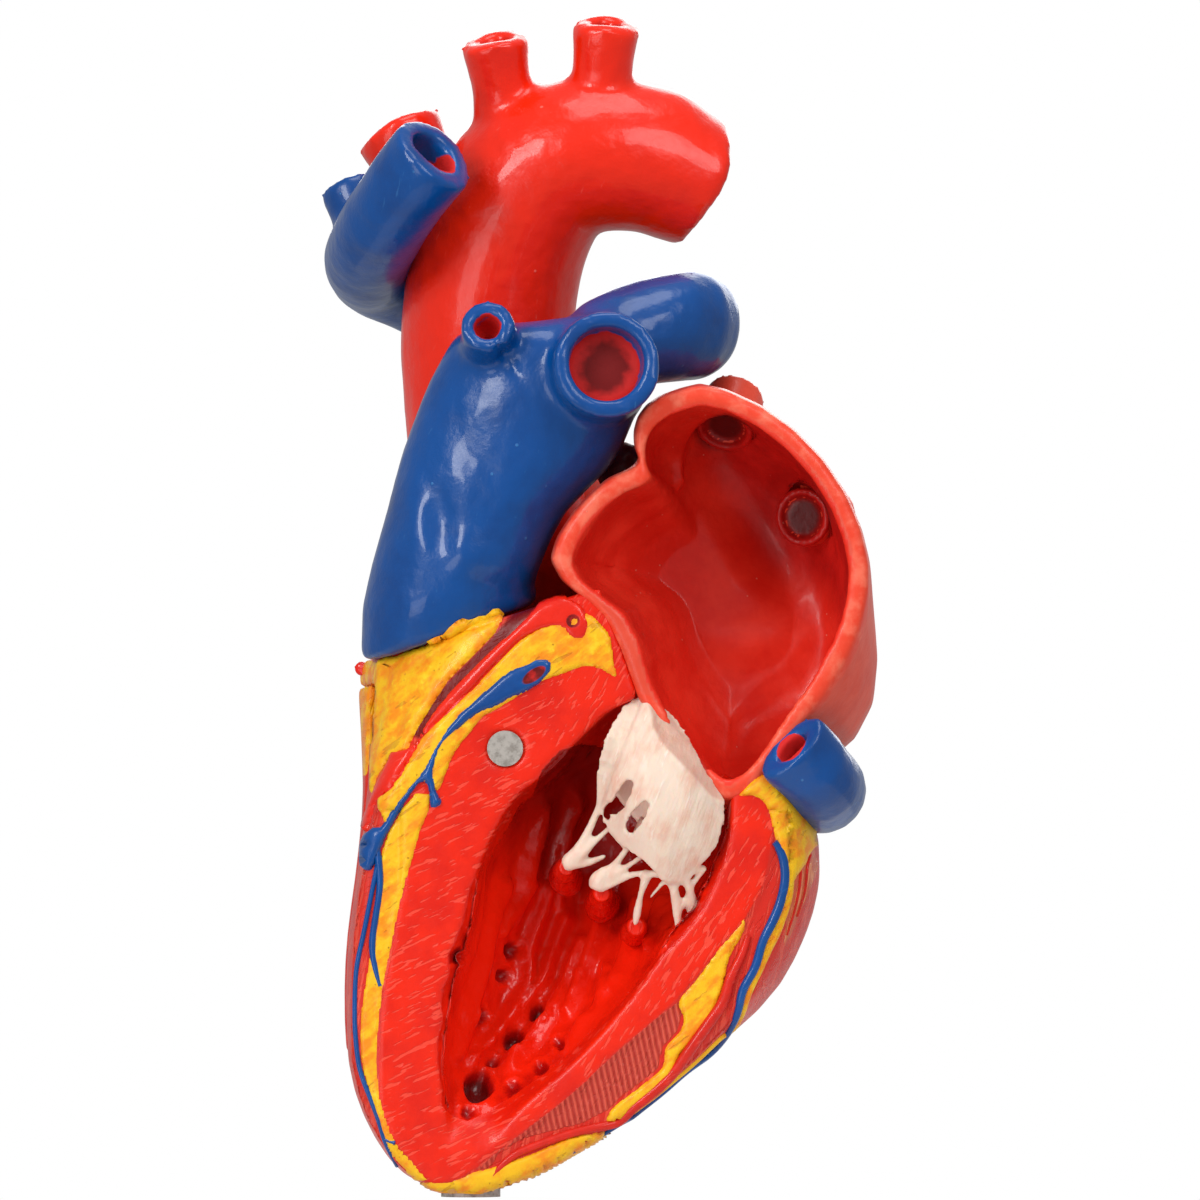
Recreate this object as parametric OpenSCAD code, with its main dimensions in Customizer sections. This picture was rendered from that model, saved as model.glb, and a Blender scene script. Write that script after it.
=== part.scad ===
// Human heart teaching model, about twice life size, seen from its left side with the left wall taken off.
// Millimetres. X runs from the front of the chest to the back, Y away from the cut face, Z up.
// The origin is the centre of the mouth of the stand socket, under the apex.

/* [Ventricles] */
// Width of the ventricles across the cut face
ventricle_width = 128; // [116:1:140]
// Height of the ventricles from the apex to the top of the septum
ventricle_length = 160; // [146:1:174]
// Depth of the ventricles behind the cut face
ventricle_depth = 112; // [104:1:122]
// Depth of the left chamber behind the cut face
chamber_depth = 50; // [40:1:56]
// Thickness of the lift-off wall of the right ventricle
right_wall_t = 5; // [4:0.5:6.5]
// Depth of the right chamber under that wall
right_chamber_depth = 15; // [8:1:18]

/* [Left atrium] */
// Width of the left atrium across the cut face
atrium_width = 86; // [78:1:94]
// Height of the left atrium
atrium_height = 111; // [103:1:118]
// Depth of the left atrium behind the cut face
atrium_depth = 66; // [58:1:70]
// Thickness of the wall of the left atrium
atrium_wall = 5.5; // [4:0.5:7]
// Radius of the mitral opening in that wall
mitral_r = 18; // [15:0.5:19]
// Radius of the mouths of the far pulmonary veins
ostium_r = 6; // [4:0.5:7]

/* [Right atrium] */
// Height of the right atrium
right_atrium_height = 68; // [60:1:74]
// Outer radius of the lower caval vein
lower_cava_r = 12; // [10:0.5:13]
// Length of the lower caval vein below the atrium
lower_cava_length = 30; // [20:1:40]

/* [Aorta] */
// Outer radius of the ascending aorta
aorta_r = 23.5; // [20:0.5:24]
// Outer radius of the cut end of the arch
arch_end_r = 18; // [16:0.5:20]
// Rise of the middle line of the arch over the root
arch_rise = 144; // [138:1:152]
// Outer radius of the three branches of the arch
branch_r = 8; // [6.5:0.25:9]
// Length of the branches over the arch
branch_length = 22; // [16:1:28]
// Radius of the bore in the ends of the branches
branch_bore_r = 3.5; // [2:0.25:4.5]
// Depth of the bores in the ends of the vessels
end_bore_depth = 10; // [6:1:14]

/* [Veins] */
// Outer radius of the upper caval vein
upper_cava_r = 12; // [10:0.5:13]
// Radius of the bore of the upper caval vein
upper_cava_bore_r = 6.5; // [4:0.5:8]
// Outer radius of the coronary sinus
sinus_r = 11; // [9:0.5:12.5]

/* [Pulmonary trunk] */
// Depth of the pulmonary trunk from front to back
trunk_depth = 42; // [36:1:43]
// Outer radius of the left pulmonary stump
left_stump_r = 14.5; // [12:0.5:16]
// Radius of the bore of the left pulmonary stump
left_stump_bore_r = 10; // [7:0.5:11.5]
// Outer radius of the small upper lobe stump
lobe_stump_r = 7.5; // [6:0.5:9]
// Radius of the bore of the small upper lobe stump
lobe_stump_bore_r = 3.5; // [2:0.25:5]
// Outer radius of the right pulmonary artery
right_branch_r = 14.5; // [12:0.5:15.5]

/* [Valves] */
// Thickness of the valve leaflets
leaflet_t = 1.8; // [1.4:0.1:2.6]
// Radius of a tendon string
string_r = 1.3; // [1:0.1:1.8]
// Radius of the aortic valve ring where it enters the aorta
valve_spigot_r = 13; // [10:0.5:15]
// Height of that spigot
valve_spigot_h = 6; // [4:0.5:9]
// Thickness of the wall of the valve rings
valve_wall = 2.5; // [2:0.25:3.5]
// Radius of the pulmonary valve ring
pulmonary_ring_r = 12; // [10:0.5:14]

/* [Surface vessels] */
// Radius of the arteries on the surface
artery_r = 1.9; // [1.5:0.1:2.4]
// Radius of the veins on the surface
vein_r = 2.1; // [1.6:0.1:2.6]
// How far the fat stands proud of the muscle
fat_rise = 0.8; // [0.5:0.1:1.5]

/* [Fittings] */
// Diameter of the disc magnets
magnet_d = 9.6; // [8:0.2:11]
// Thickness of the disc magnets
magnet_t = 3; // [2:0.5:4]
// Bore of the stand socket
socket_bore_d = 10; // [8:0.5:12]
// Depth of the bore of the stand socket
socket_depth = 26; // [18:1:32]
// Wall of the stand socket
socket_wall = 3; // [2:0.5:4]
// Width of the ledge under the edge of the lift-off wall
ledge_width = 11; // [10:0.5:13]
// Diameter of the locating pins of the lift-off wall
pin_d = 3; // [2:0.5:4]
// Length of the locating pins outside the body
pin_reach = 3; // [2:0.5:3.5]

/* [Clearances] */
// Gap between a lift-off piece and its seat
seat_gap = 0.3; // [0.2:0.05:0.5]
// Gap between the lift-off wall and its ledge
wall_gap = 0.5; // [0.4:0.05:0.7]
// Gap round the edge of the lift-off wall
edge_gap = 0.5; // [0.4:0.1:0.8]
// Radial gap round a pin or spigot
pin_gap = 0.3; // [0.2:0.05:0.5]

/* [Hidden] */

artery_red = [0.93, 0.08, 0.07];
vein_blue = [0.0, 0.28, 0.6];
muscle_red = [0.85, 0.1, 0.08];
fat_yellow = [0.94, 0.7, 0.06];
valve_cream = [0.94, 0.85, 0.77];
steel_grey = [0.62, 0.62, 0.6];

// The sections below are drawn for ventricles of this width, length and depth, and follow the real ones.
drawn_width = 128;
drawn_length = 160;
drawn_depth = 112;
sx = ventricle_width / drawn_width;
sy = ventricle_depth / drawn_depth;
sz = ventricle_length / drawn_length;
// The stand socket lies this far behind the cut face
socket_setback = 34;

// Sections of the ventricles from the apex up. Each holds, as [x, z], the left and right edges of the
// outline, the left and right lips of the cut face and the left and right lips of the chamber, and then
// the depth of the outline, the full depth and the depth of the chamber.
SECTIONS = [
    [[-9, 2.2], [2.5, 2], [-7, 2.6], [0.5, 2.4], [-5, 3.2], [-2, 3.2], [18, 31, 0.1]],
    [[-19.5, 7.8], [20, 7.5], [-17.5, 8.3], [15, 7.4], [-8, 12], [5.5, 12], [23, 56, 0.1]],
    [[-28, 20.4], [40, 19.3], [-26.3, 20.6], [37, 19.8], [-6.2, 23], [12, 23.6], [27, 74, 6]],
    [[-33, 36], [60, 35], [-31, 36], [56, 34.3], [-7.8, 36], [28, 37.3], [30, 88, 28]],
    [[-34, 54.7], [80.5, 53.5], [-31, 54.7], [72.4, 52.5], [-5.4, 54.7], [43.4, 54.7], [33, 99, 40]],
    [[-33.2, 70.8], [89.8, 69.4], [-30.3, 70.8], [79.1, 69.4], [-0.5, 72], [55, 72], [35, 106, 47]],
    [[-31, 87.5], [93.8, 83], [-28, 89], [82.5, 82], [2.7, 89.5], [63.2, 84.2], [36, 110, 50]],
    [[-29.2, 105.6], [94, 92.2], [-23.6, 105.6], [83.6, 92.2], [11.3, 106.9], [68, 96.2], [36, 112, 50]],
    [[-29.5, 121.7], [93.5, 98.9], [-13.9, 121.1], [84.4, 101.6], [22.8, 115.8], [69.4, 101.4],
        [36, 112, 48]],
    [[-30.3, 135.1], [91.5, 105], [-1.3, 137], [83.1, 108], [34.8, 129.2], [69.6, 105], [35, 110, 46]],
    [[-30.3, 144], [87.4, 111.5], [19.5, 159.5], [79.9, 114], [44.8, 134.5], [69.8, 107.5], [34, 106, 44]]
];
base_row = len(SECTIONS) - 1;
// The outline leaves the lip of the cut face at this angle, and its back is this much squarer than an
// ellipse
lip_angle = 22;
back_power = 0.86;
// Share of the way from the outline to the chamber that the flat top of the base reaches
base_shelf = 0.62;

// The lift-off wall covers these sections and spans of the outline. At the low and high ends a section
// is this long, and a span is this long before and behind the left edge
wall_rows = [3.1, 9.25];
wall_span = [0.66, 1.66];
row_lengths = [16, 7];
span_lengths = [31, 205];
step_width = 0.5;
function rows_in(d) = [wall_rows[0] + d / row_lengths[0], wall_rows[1] - d / row_lengths[1]];
function spans_in(d) = [wall_span[0] + d / span_lengths[0], wall_span[1] - d / span_lengths[1]];
step_rows = rows_in(step_width);
step_spans = spans_in(step_width);
ledge_rows = rows_in(step_width + ledge_width);
ledge_spans = spans_in(step_width + ledge_width);
edge_rows = rows_in(step_width + edge_gap);
edge_spans = spans_in(step_width + edge_gap);

// Vectors, splines and skins
function unit(v) = v / norm(v);
function mix(a, b, f) = a + (b - a) * f;
function total(v, i = 0) = i == len(v) - 1 ? v[i] : v[i] + total(v, i + 1);
function middle(ring) = total(ring) / len(ring);
function shrink(ring, k) = let (c = middle(ring)) [for (p = ring) c + (p - c) * k];
function move(ring, v) = [for (p = ring) p + v];
function curve(a, b, c, d, f) =
    b + 0.5 * f * ((c - a) + f * ((2 * a - 5 * b + 4 * c - d) + f * (3 * b - a - 3 * c + d)));
function spline(rows, t) =
    let (n = len(rows) - 1, i = max(0, min(floor(t), n - 1)))
    curve(rows[max(i - 1, 0)], rows[i], rows[i + 1], rows[min(i + 2, n)], t - i);
function loop(rows, t) =
    let (n = len(rows), i = floor(t))
    curve(rows[(i + n - 1) % n], rows[i % n], rows[(i + 1) % n], rows[(i + 2) % n], t - i);
function smooth(rows, n) = [for (k = [0:n]) spline(rows, k * (len(rows) - 1) / n)];
function smooth_loop(rows, n) = [for (k = [0:n - 1]) loop(rows, k * len(rows) / n)];
function steps(a, b, n) = [for (k = [0:n]) mix(a, b, k / n)];
function spot(r) = [r[0], r[1], r[2]];

// Rings of a tube along rows of [x, y, z, radius], or of [x, y, z, radius across, radius along]
function ways(p) = [for (i = [0:len(p) - 1]) unit(p[min(i + 1, len(p) - 1)] - p[max(i - 1, 0)])];
function carried(t, n, i = 0) =
    i == len(t) ? [] : let (m = unit(n - (n * t[i]) * t[i])) concat([m], carried(t, m, i + 1));
function tube(rows, n, sides, start = [0, 1, 0.01]) =
    let (s = smooth(rows, n), p = [for (r = s) spot(r)], t = ways(p), a = carried(t, start))
    [for (i = [0:n]) let (b = cross(t[i], a[i]), ra = s[i][3], rb = len(s[i]) > 4 ? s[i][4] : s[i][3])
        [for (k = [0:sides - 1]) p[i] + ra * cos(360 * k / sides) * a[i] + rb * sin(360 * k / sides) * b]];
// The same tube with a blind bore of radius r and the given depth in its last end
function bored(rings, r, depth) =
    let (n = len(rings) - 1, c = middle(rings[n]), way = unit(c - middle(rings[n - 1])),
         lip = shrink(rings[n], r / norm(rings[n][0] - c)))
    concat(rings, [lip, move(lip, -way * depth)]);

// A closed solid through rings of the same number of points. An end is closed by a fan from its middle
// or, where the ring is a long fold, by a strip across it
module skin(rings, first = "fan", last = "fan") {
    m = len(rings[0]);
    n = len(rings);
    top = (n - 1) * m;
    points = concat([for (r = rings) each r], first == "fan" ? [middle(rings[0])] : [],
        last == "fan" ? [middle(rings[n - 1])] : []);
    walls = [for (i = [0:n - 2], k = [0:m - 1]) let (a = i * m + k, b = i * m + (k + 1) % m) each [
        [a, a + m, b + m], [a, b + m, b]]];
    low = first == "fan" ? [for (k = [0:m - 1]) [n * m, k, (k + 1) % m]]
        : [for (k = [0:m / 2 - 2]) each [[k, k + 1, m - 2 - k], [k, m - 2 - k, m - 1 - k]]];
    high = last == "fan" ? [for (k = [0:m - 1]) [len(points) - 1, top + (k + 1) % m, top + k]]
        : [for (k = [0:m / 2 - 2]) each [[top + k, top + m - 2 - k, top + k + 1],
            [top + k, top + m - 1 - k, top + m - 2 - k]]];
    polyhedron(points, concat(walls, low, high), convexity = 10);
}

// A closed plate between two grids of the same size, the outer and the inner one
module plate(outer, inner) {
    n = len(outer) - 1;
    skin([for (i = [n:-1:0]) concat(outer[i], [for (k = [len(inner[i]) - 1:-1:0]) inner[i][k]])], "strip",
        "strip");
}

// From the frame of the cut face to the frame of the stand socket
module placed() translate([0, -socket_setback, 0]) children();
// Carries what is drawn on the base of the standard ventricles along with the point p of the real ones
function carry_of(p) = [p.x * (sx - 1), p.y * (sy - 1), p.z * (sz - 1)];
module on_base(p) placed() translate(carry_of(p)) children();

// Surface of the ventricles: t counts the sections, and span s runs from the left lip (0) over the left
// edge (1), round the back to the right edge (2) and to the right lip (3)
function flat(q, y) = [q.x * sx, y, q.y * sz];
function side(lip, edge, y, f) =
    let (a = mix(lip_angle, 90, f), k = (1 - sin(a)) / (1 - sin(lip_angle)),
         m = (cos(lip_angle) - cos(a)) / cos(lip_angle))
    flat(mix(edge, lip, k), y * m * sy);
function outside(t, s) =
    let (r = spline(SECTIONS, t))
    s < 1 ? side(r[2], r[0], r[6][0], s) :
    s > 2 ? side(r[3], r[1], r[6][0], 3 - s) :
    let (a = 180 * (s - 1))
    flat(mix(r[0], r[1], (1 - cos(a)) / 2),
        (r[6][0] + (r[6][1] - r[6][0]) * pow(max(sin(a), 0), back_power)) * sy);
function core(t) =
    let (r = spline(SECTIONS, t))
    flat(mix(r[0], r[1], 0.5), mix(r[6][0], r[6][1], 0.3) * sy);
function under(t, s, depth) = let (p = outside(t, s)) p + depth * unit(core(t) - p);
// Wall of the left chamber opposite the span s of the outside
function chamber(t, s) =
    let (r = spline(SECTIONS, t), a = 60 * s, deepest = spline(SECTIONS, 6)[6][2])
    flat(mix(r[4], r[5], (1 - cos(a)) / 2), r[6][2] * chamber_depth / deepest * pow(max(sin(a), 0), 0.8));
// Depth of the recess for the lift-off wall and of the right chamber under it
function hollow(t, s) =
    let (f = (t - ledge_rows[0]) / (ledge_rows[1] - ledge_rows[0]),
         g = (s - ledge_spans[0]) / (ledge_spans[1] - ledge_spans[0]))
    right_wall_t + wall_gap + (f <= 0 || f >= 1 || g <= 0 || g >= 1 ? 0 :
        right_chamber_depth * pow(sin(180 * f) * sin(180 * g), 0.45));
function within(v, limits) = v >= limits[0] && v <= limits[1];
function in_recess(t, s) = within(t, step_rows) && within(s, step_spans);
function skin_point(t, s) = in_recess(t, s) ? under(t, s, hollow(t, s)) : outside(t, s);

recess_rows = concat([wall_rows[0], step_rows[0]], steps(ledge_rows[0], ledge_rows[1], 9),
    [step_rows[1], wall_rows[1]]);
body_rows = concat(steps(0, 2.55, 6), recess_rows, [base_row]);
recess_spans = concat([wall_span[0], step_spans[0]], steps(ledge_spans[0], ledge_spans[1], 9),
    [step_spans[1], wall_span[1]]);
body_spans = concat([0, 0.22, 0.44], recess_spans, [1.74, 1.83, 1.92, 2, 2.2, 2.45, 2.72, 3]);

function body_ring(t) = concat([for (s = body_spans) skin_point(t, s)],
    [for (k = [len(body_spans) - 1:-1:0]) chamber(t, body_spans[k])]);
// The top of the base: a sloping seat for the pulmonary trunk in front and to the left, and a lower
// shelf behind it
chamber_lip_rise = 1.5;
shelf_drop = 0.35;
seat_low = SECTIONS[base_row][0];
seat_high = SECTIONS[base_row][2];
seat_slope = (seat_high.y - seat_low.y) * sz / ((seat_high.x - seat_low.x) * sx);
function seat_z(x) = seat_low.y * sz + (x - seat_low.x * sx) * seat_slope;
function shelf(s) =
    let (p = outside(base_row, s), q = chamber(base_row, s), m = mix(p, q, base_shelf),
         w = min(1, max(0, (1.1 - s) / 0.15)))
    [m.x, m.y, mix(mix(p.z, m.z, shelf_drop), seat_z(m.x), w)];
base_ring = concat([for (s = body_spans) shelf(s)],
    [for (k = [len(body_spans) - 1:-1:0]) chamber(base_row, body_spans[k]) + [0, 0, chamber_lip_rise]]);
body_rings = concat([base_ring], [for (k = [len(body_rows) - 1:-1:0]) body_ring(body_rows[k])]);

// Stand socket, magnets and pins
socket_r = socket_bore_d / 2 + socket_wall;
socket_floor = 3;
fit_gap = 0.1;
module stand_socket() color(steel_grey)
    difference() {
        cylinder(h = socket_depth + socket_floor, r = socket_r, $fn = 64);
        translate([0, 0, -1]) cylinder(h = socket_depth + 1, r = socket_bore_d / 2, $fn = 64);
    }
apex_top = socket_depth + socket_floor + fit_gap;
module socket_pocket() translate([0, 0, -1]) cylinder(h = apex_top + 1, r = socket_r + fit_gap, $fn = 64);

face_magnet_spot = [9.4, 0, 121];
face_magnet_proud = 0.4;
module disc(d, low, high) translate([0, 0, low]) cylinder(h = high - low, d = d, $fn = 48);
// A frame on the cut face at the magnet, with Z out of the face
module at_face_magnet()
    placed() translate([face_magnet_spot.x * sx, 0, face_magnet_spot.z * sz]) rotate([90, 0, 0]) children();
module face_magnet() color(steel_grey)
    at_face_magnet() disc(magnet_d, face_magnet_proud - magnet_t, face_magnet_proud);

// Frames on the ledge under the lift-off wall: the magnets stand square to it, and the pins have Z
// along the way that the wall comes off, level and half way between the front and the right
pin_turn = [0, 90, 135];
magnet_span = 1.22;
pin_span = 1.4;
ledge_middles = [(step_rows[0] + ledge_rows[0]) / 2, (step_rows[1] + ledge_rows[1]) / 2];
function ledge_point(t, s) = under(t, s, right_wall_t + wall_gap);
function outward(t, s, e = 0.05) =
    unit(cross(outside(t, s + e) - outside(t, s - e), outside(t + e, s) - outside(t - e, s)));
module along(a, b) let (way = unit(b - a)) translate(a) rotate([0, acos(way.z), atan2(way.y, way.x)])
    children();
module on_magnets() placed() for (t = ledge_middles)
    let (p = ledge_point(t, magnet_span)) along(p, p - outward(t, magnet_span)) children();
module on_pins() placed() for (t = ledge_middles) translate(ledge_point(t, pin_span)) rotate(pin_turn)
    children();
magnet_sink = 0.4;
magnet_top = wall_gap + magnet_sink + magnet_t;
pin_root = 5;
cut_over = 3;
module seat_magnets() color(steel_grey) on_magnets() disc(magnet_d, -magnet_sink - magnet_t, -magnet_sink);
module wall_magnets() color(steel_grey) on_magnets() disc(magnet_d, magnet_top - magnet_t, magnet_top);
module locating_pins() color(steel_grey) on_pins() disc(pin_d, -pin_root, pin_reach);

// The ventricles are one casting. It is drawn as a body and an apex, which meet at the end of the
// socket's pocket
module ventricles()
    difference() {
        placed() skin(body_rings, "strip", "fan");
        socket_pocket();
        at_face_magnet() disc(magnet_d + 2 * fit_gap, face_magnet_proud - magnet_t - fit_gap, cut_over);
        on_magnets() disc(magnet_d + 2 * fit_gap, -magnet_sink - magnet_t - fit_gap, cut_over);
        on_pins() disc(pin_d + 2 * fit_gap, -pin_root - fit_gap, cut_over);
        on_base(root_spot) aortic_pocket();
        on_base(trunk_seat) pulmonary_pocket();
    }
module apex_room() translate([0, 0, apex_top - 500]) cylinder(h = 500, r = 300);
module heart_body() color(muscle_red)
    difference() {
        ventricles();
        apex_room();
    }
module heart_apex() color(muscle_red)
    intersection() {
        ventricles();
        apex_room();
    }

// Lift-off wall of the right ventricle, parallel to the outline and one seat gap over the ledge
wall_grid_rows = steps(edge_rows[0], edge_rows[1], 13);
wall_grid_spans = steps(edge_spans[0], edge_spans[1], 17);
module right_ventricle_wall() color(muscle_red)
    difference() {
        placed() plate([for (t = wall_grid_rows) [for (s = wall_grid_spans) outside(t, s)]],
            [for (t = wall_grid_rows) [for (s = wall_grid_spans) under(t, s, right_wall_t)]]);
        on_magnets() disc(magnet_d + 2 * fit_gap, -cut_over, magnet_top + fit_gap);
        on_pins() disc(pin_d + 2 * pin_gap, -cut_over, pin_reach + pin_gap);
    }

// Left atrium: a bowl behind the cut face. Its rim is drawn for this width and height
drawn_atrium_width = 86;
drawn_atrium_height = 111;
drawn_atrium_depth = 66;
atrium_shift = atrium_depth - drawn_atrium_depth;
atrium_middle = [70, 0, 163];
RIM = [[45, 135], [38.5, 153], [31, 161], [22.3, 169.5], [24.3, 178.5], [31, 187.5], [38.5, 194],
    [45.8, 197],
    [44, 202.5], [45, 209], [49, 213.8], [56.5, 217], [64.5, 218], [78, 212.5], [91, 202.3], [101, 188.5],
    [106.2, 174], [106.4, 162], [103, 150.5], [97, 139.5], [91, 131], [85.5, 124], [81.2, 117.8],
    [76.5, 112.2], [69, 107], [56, 118]];
rim_points = 40;
rim_front = -1;
dome_power = 0.55;
dome_bulge = 0.07;
// The wall swells out beyond the rim at the lower right, by this much, towards this angle and this narrowly
side_bulge = 18;
side_angle = -50;
side_power = 5;
function atrium_ring(inset, angle, depth) =
    let (k = pow(cos(angle), dome_power) * (1 + dome_bulge * sin(2 * angle)),
        c = [atrium_middle.x, atrium_middle.z],
         fx = atrium_width / drawn_atrium_width, fz = atrium_height / drawn_atrium_height)
    [for (q = smooth_loop(RIM, rim_points))
        let (v = [(q.x - c.x) * fx, (q.y - c.y) * fz],
            side = side_bulge * sin(2 * angle) * pow(max(0, cos(atan2(v.y, v.x) - side_angle)), side_power),
            w = v * ((1 - inset / norm(v)) * k + side / norm(v)))
        [c.x + w.x, rim_front + depth * sin(angle), c.y + w.y]];
atrium_rings = concat(
    [for (a = [76, 64, 52, 40, 29, 18, 8, 0]) atrium_ring(atrium_wall, a,
        atrium_depth - rim_front - atrium_wall)],
    [for (a = [0, 7, 16, 26, 37, 48, 60, 72, 84]) atrium_ring(0, a, atrium_depth - rim_front)]);
mitral_middle = [57.4, 16.5, 121];
mitral_angle = 230;
ostia_depth = atrium_depth / drawn_atrium_depth;
OSTIA = [[67.5, 40 * ostia_depth, 204.5], [88, 46 * ostia_depth, 183]];
VEIN_ENDS = [OSTIA[0] + [4, 12, 11.5], OSTIA[1] + [9, 20, 1]];
// How far the mouths of the veins reach past the wall of the bowl, and how far before it their cut starts
ostium_reach = 5;
ostium_start = 20;
mitral_cut = [-14, 26];
module ostia() for (i = [0, 1]) along(OSTIA[i], VEIN_ENDS[i])
    translate([0, 0, -ostium_start]) cylinder(h = ostium_start + ostium_reach, r = ostium_r, $fn = 48);
module left_atrium() color(muscle_red) on_base(mitral_middle)
    difference() {
        skin(atrium_rings);
        translate(mitral_middle) rotate([0, mitral_angle, 0])
            disc(2 * mitral_r, mitral_cut[0], mitral_cut[1]);
        ostia();
    }

// Stumps of the two pulmonary veins, behind the mouths that show in the bowl
vein_stump_wall = 2;
vein_stump_start = 3;
module pulmonary_veins() color(muscle_red) on_base(mitral_middle)
    for (i = [0, 1]) let (length = norm(VEIN_ENDS[i] - OSTIA[i]))
        along(OSTIA[i], VEIN_ENDS[i]) difference() {
            translate([0, 0, vein_stump_start])
                cylinder(h = length - vein_stump_start, r = ostium_r + vein_stump_wall, $fn = 48);
            translate([0, 0, -1]) cylinder(h = ostium_reach + 1, r = ostium_r, $fn = 48);
            translate([0, 0, length - end_bore_depth / 2])
                cylinder(h = end_bore_depth, r = ostium_r - 1, $fn = 48);
        }

// Right atrium, with its auricle towards the front and a neck for the upper caval vein
cava_seat = [14, 107, 196];
cava_neck_foot = 176;
cava_neck_proud = 0.8;
RIGHT_ATRIUM = [[-12, 108, 166, 3, 5], [-7, 108, 165, 9, 14], [4, 107.5, 163, 12, 23],
    [18, 107, 161, 14, 31],
    [33, 102.5, 160, 18.5, 35.5], [48, 97, 157, 26, 37], [64, 94.5, 153, 29.5, 36.5],
        [79, 92.5, 149, 27, 32],
    [91, 91, 145, 18, 23], [98, 91, 143, 6, 8]];
// How much of the shift of the left atrium's back each row takes: the auricle and the neck stay where
// they are
row_shifts = [0, 0, 0, 0, 0.5, 1, 1, 1, 1, 1];
drawn_right_atrium_height = 68;
right_atrium_growth = right_atrium_height / drawn_right_atrium_height;
right_atrium_rows = [for (i = [0:len(RIGHT_ATRIUM) - 1]) let (r = RIGHT_ATRIUM[i],
    grown = r[4] * right_atrium_growth)
    [r[0], r[1] + row_shifts[i] * atrium_shift, r[2] + grown - r[4], r[3], grown]];
right_atrium_middle = [67, 94, 122];
cava_wall = 4;
module right_atrium() color(muscle_red) on_base(right_atrium_middle) {
    skin(tube(right_atrium_rows, 22, 24));
    translate([cava_seat.x, cava_seat.y, cava_neck_foot])
        cylinder(h = cava_seat.z - cava_neck_foot, r = upper_cava_r + cava_neck_proud, $fn = 48);
}

lower_cava_points = [[76, 100, 136], [80, 104, 127], [83, 107, 127 - lower_cava_length]];
lower_cava_rows = [for (p = lower_cava_points) concat(p + [0, atrium_shift, 0], [lower_cava_r])];
module inferior_vena_cava() color(vein_blue) on_base(right_atrium_middle)
    skin(bored(tube(lower_cava_rows, 8, 24), lower_cava_r - cava_wall, end_bore_depth));

// Aorta: rises behind the pulmonary trunk and arches over it
root_spot = [17, 66, 140];
drawn_arch_rise = 144;
function rise(z) = root_spot.z + seat_gap + (z - root_spot.z) * arch_rise / drawn_arch_rise;
root_share = 0.81;
// Both vessels are drawn a little longer at the foot and cut off level there
foot = 3;
module level_cut(p, r) translate([p.x, p.y, p.z + seat_gap - 3 * foot]) cylinder(h = 3 * foot, r = r);
aorta_rows = [[17, 66, rise(140) - foot, root_share * aorta_r], [17, 66, rise(147), root_share * aorta_r],
    [14.5, 66.5, rise(160), 0.87 * aorta_r], [8.5, 67, rise(185), 0.96 * aorta_r],
        [5, 67.5, rise(215), aorta_r], [5, 67, rise(242), aorta_r],
    [9.5, 64, rise(262), 0.99 * aorta_r], [20, 60, rise(277), 0.95 * aorta_r],
        [34, 58, rise(281), 0.9 * aorta_r],
    [48, 59, rise(278.5), mix(0.86 * aorta_r, arch_end_r, 0.5)], [56, 60, rise(275), arch_end_r],
    [62, 61, rise(272.8), 0.98 * arch_end_r]];
aorta_sides = 28;
module branch(low, high, r, bore) {
    rings = tube([[low.x, low.y, low.z, r * 1.35], concat(mix(low, high, 0.45), [r * 1.04]),
        concat(high, [r])], 5, 20);
    skin(bored(rings, bore, end_bore_depth));
}
module aorta() color(artery_red) on_base(root_spot)
    difference() {
        union() {
            skin(bored(tube(aorta_rows, 30, aorta_sides), arch_end_r - 5, end_bore_depth));
            branch([11, 61, rise(284)], [6.4, 53, rise(293) + branch_length - 4.4], branch_r,
                branch_bore_r);
            branch([34, 57, rise(288)], [36.6, 49, rise(296) + branch_length - 3.4], branch_r,
                branch_bore_r);
            branch([-4, 71, rise(258)], [-19.8, 73, rise(287.3)], branch_r * 1.33, branch_bore_r * 1.5);
        }
        translate([root_spot.x, root_spot.y, root_spot.z - 1])
            cylinder(h = valve_spigot_h + 2 + seat_gap, r = valve_spigot_r + pin_gap, $fn = 64);
        level_cut(root_spot, aorta_r);
    }

// Aortic valve: a ring in the base whose spigot enters the aorta, with three cusps
valve_flange_r = 18;
valve_flange_root = 15;
root_gap = 1.5;
root_pocket_h = 40;
module aortic_pocket() translate(root_spot) {
    cylinder(h = root_pocket_h, r = root_share * aorta_r + root_gap, $fn = 64);
    disc(2 * (valve_flange_r + fit_gap), -valve_flange_root - fit_gap, 1);
}
module cusps(r, t) for (a = [0, 120, 240]) rotate([0, 0, a])
    intersection() {
        translate([r * 0.48, 0, 0]) difference() {
            sphere(r = r * 0.56, $fn = 32);
            sphere(r = r * 0.56 - t, $fn = 32);
            translate([-r, -r, 0]) cube([2 * r, 2 * r, r]);
        }
        translate([0, 0, -r]) cylinder(h = r, r = r + 0.4, $fn = 48);
    }
module valve_ring(r, flange_r, root, spigot, wall) rotate_extrude($fn = 72)
    polygon([[r - wall, -root], [flange_r, -root], [flange_r, 0], [r, 0], [r, spigot], [r - wall, spigot]]);
module aortic_valve() color(valve_cream) on_base(root_spot) translate(root_spot) {
    valve_ring(valve_spigot_r, valve_flange_r, valve_flange_root, valve_spigot_h, valve_wall);
    cusps(valve_spigot_r - valve_wall, leaflet_t);
}

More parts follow.
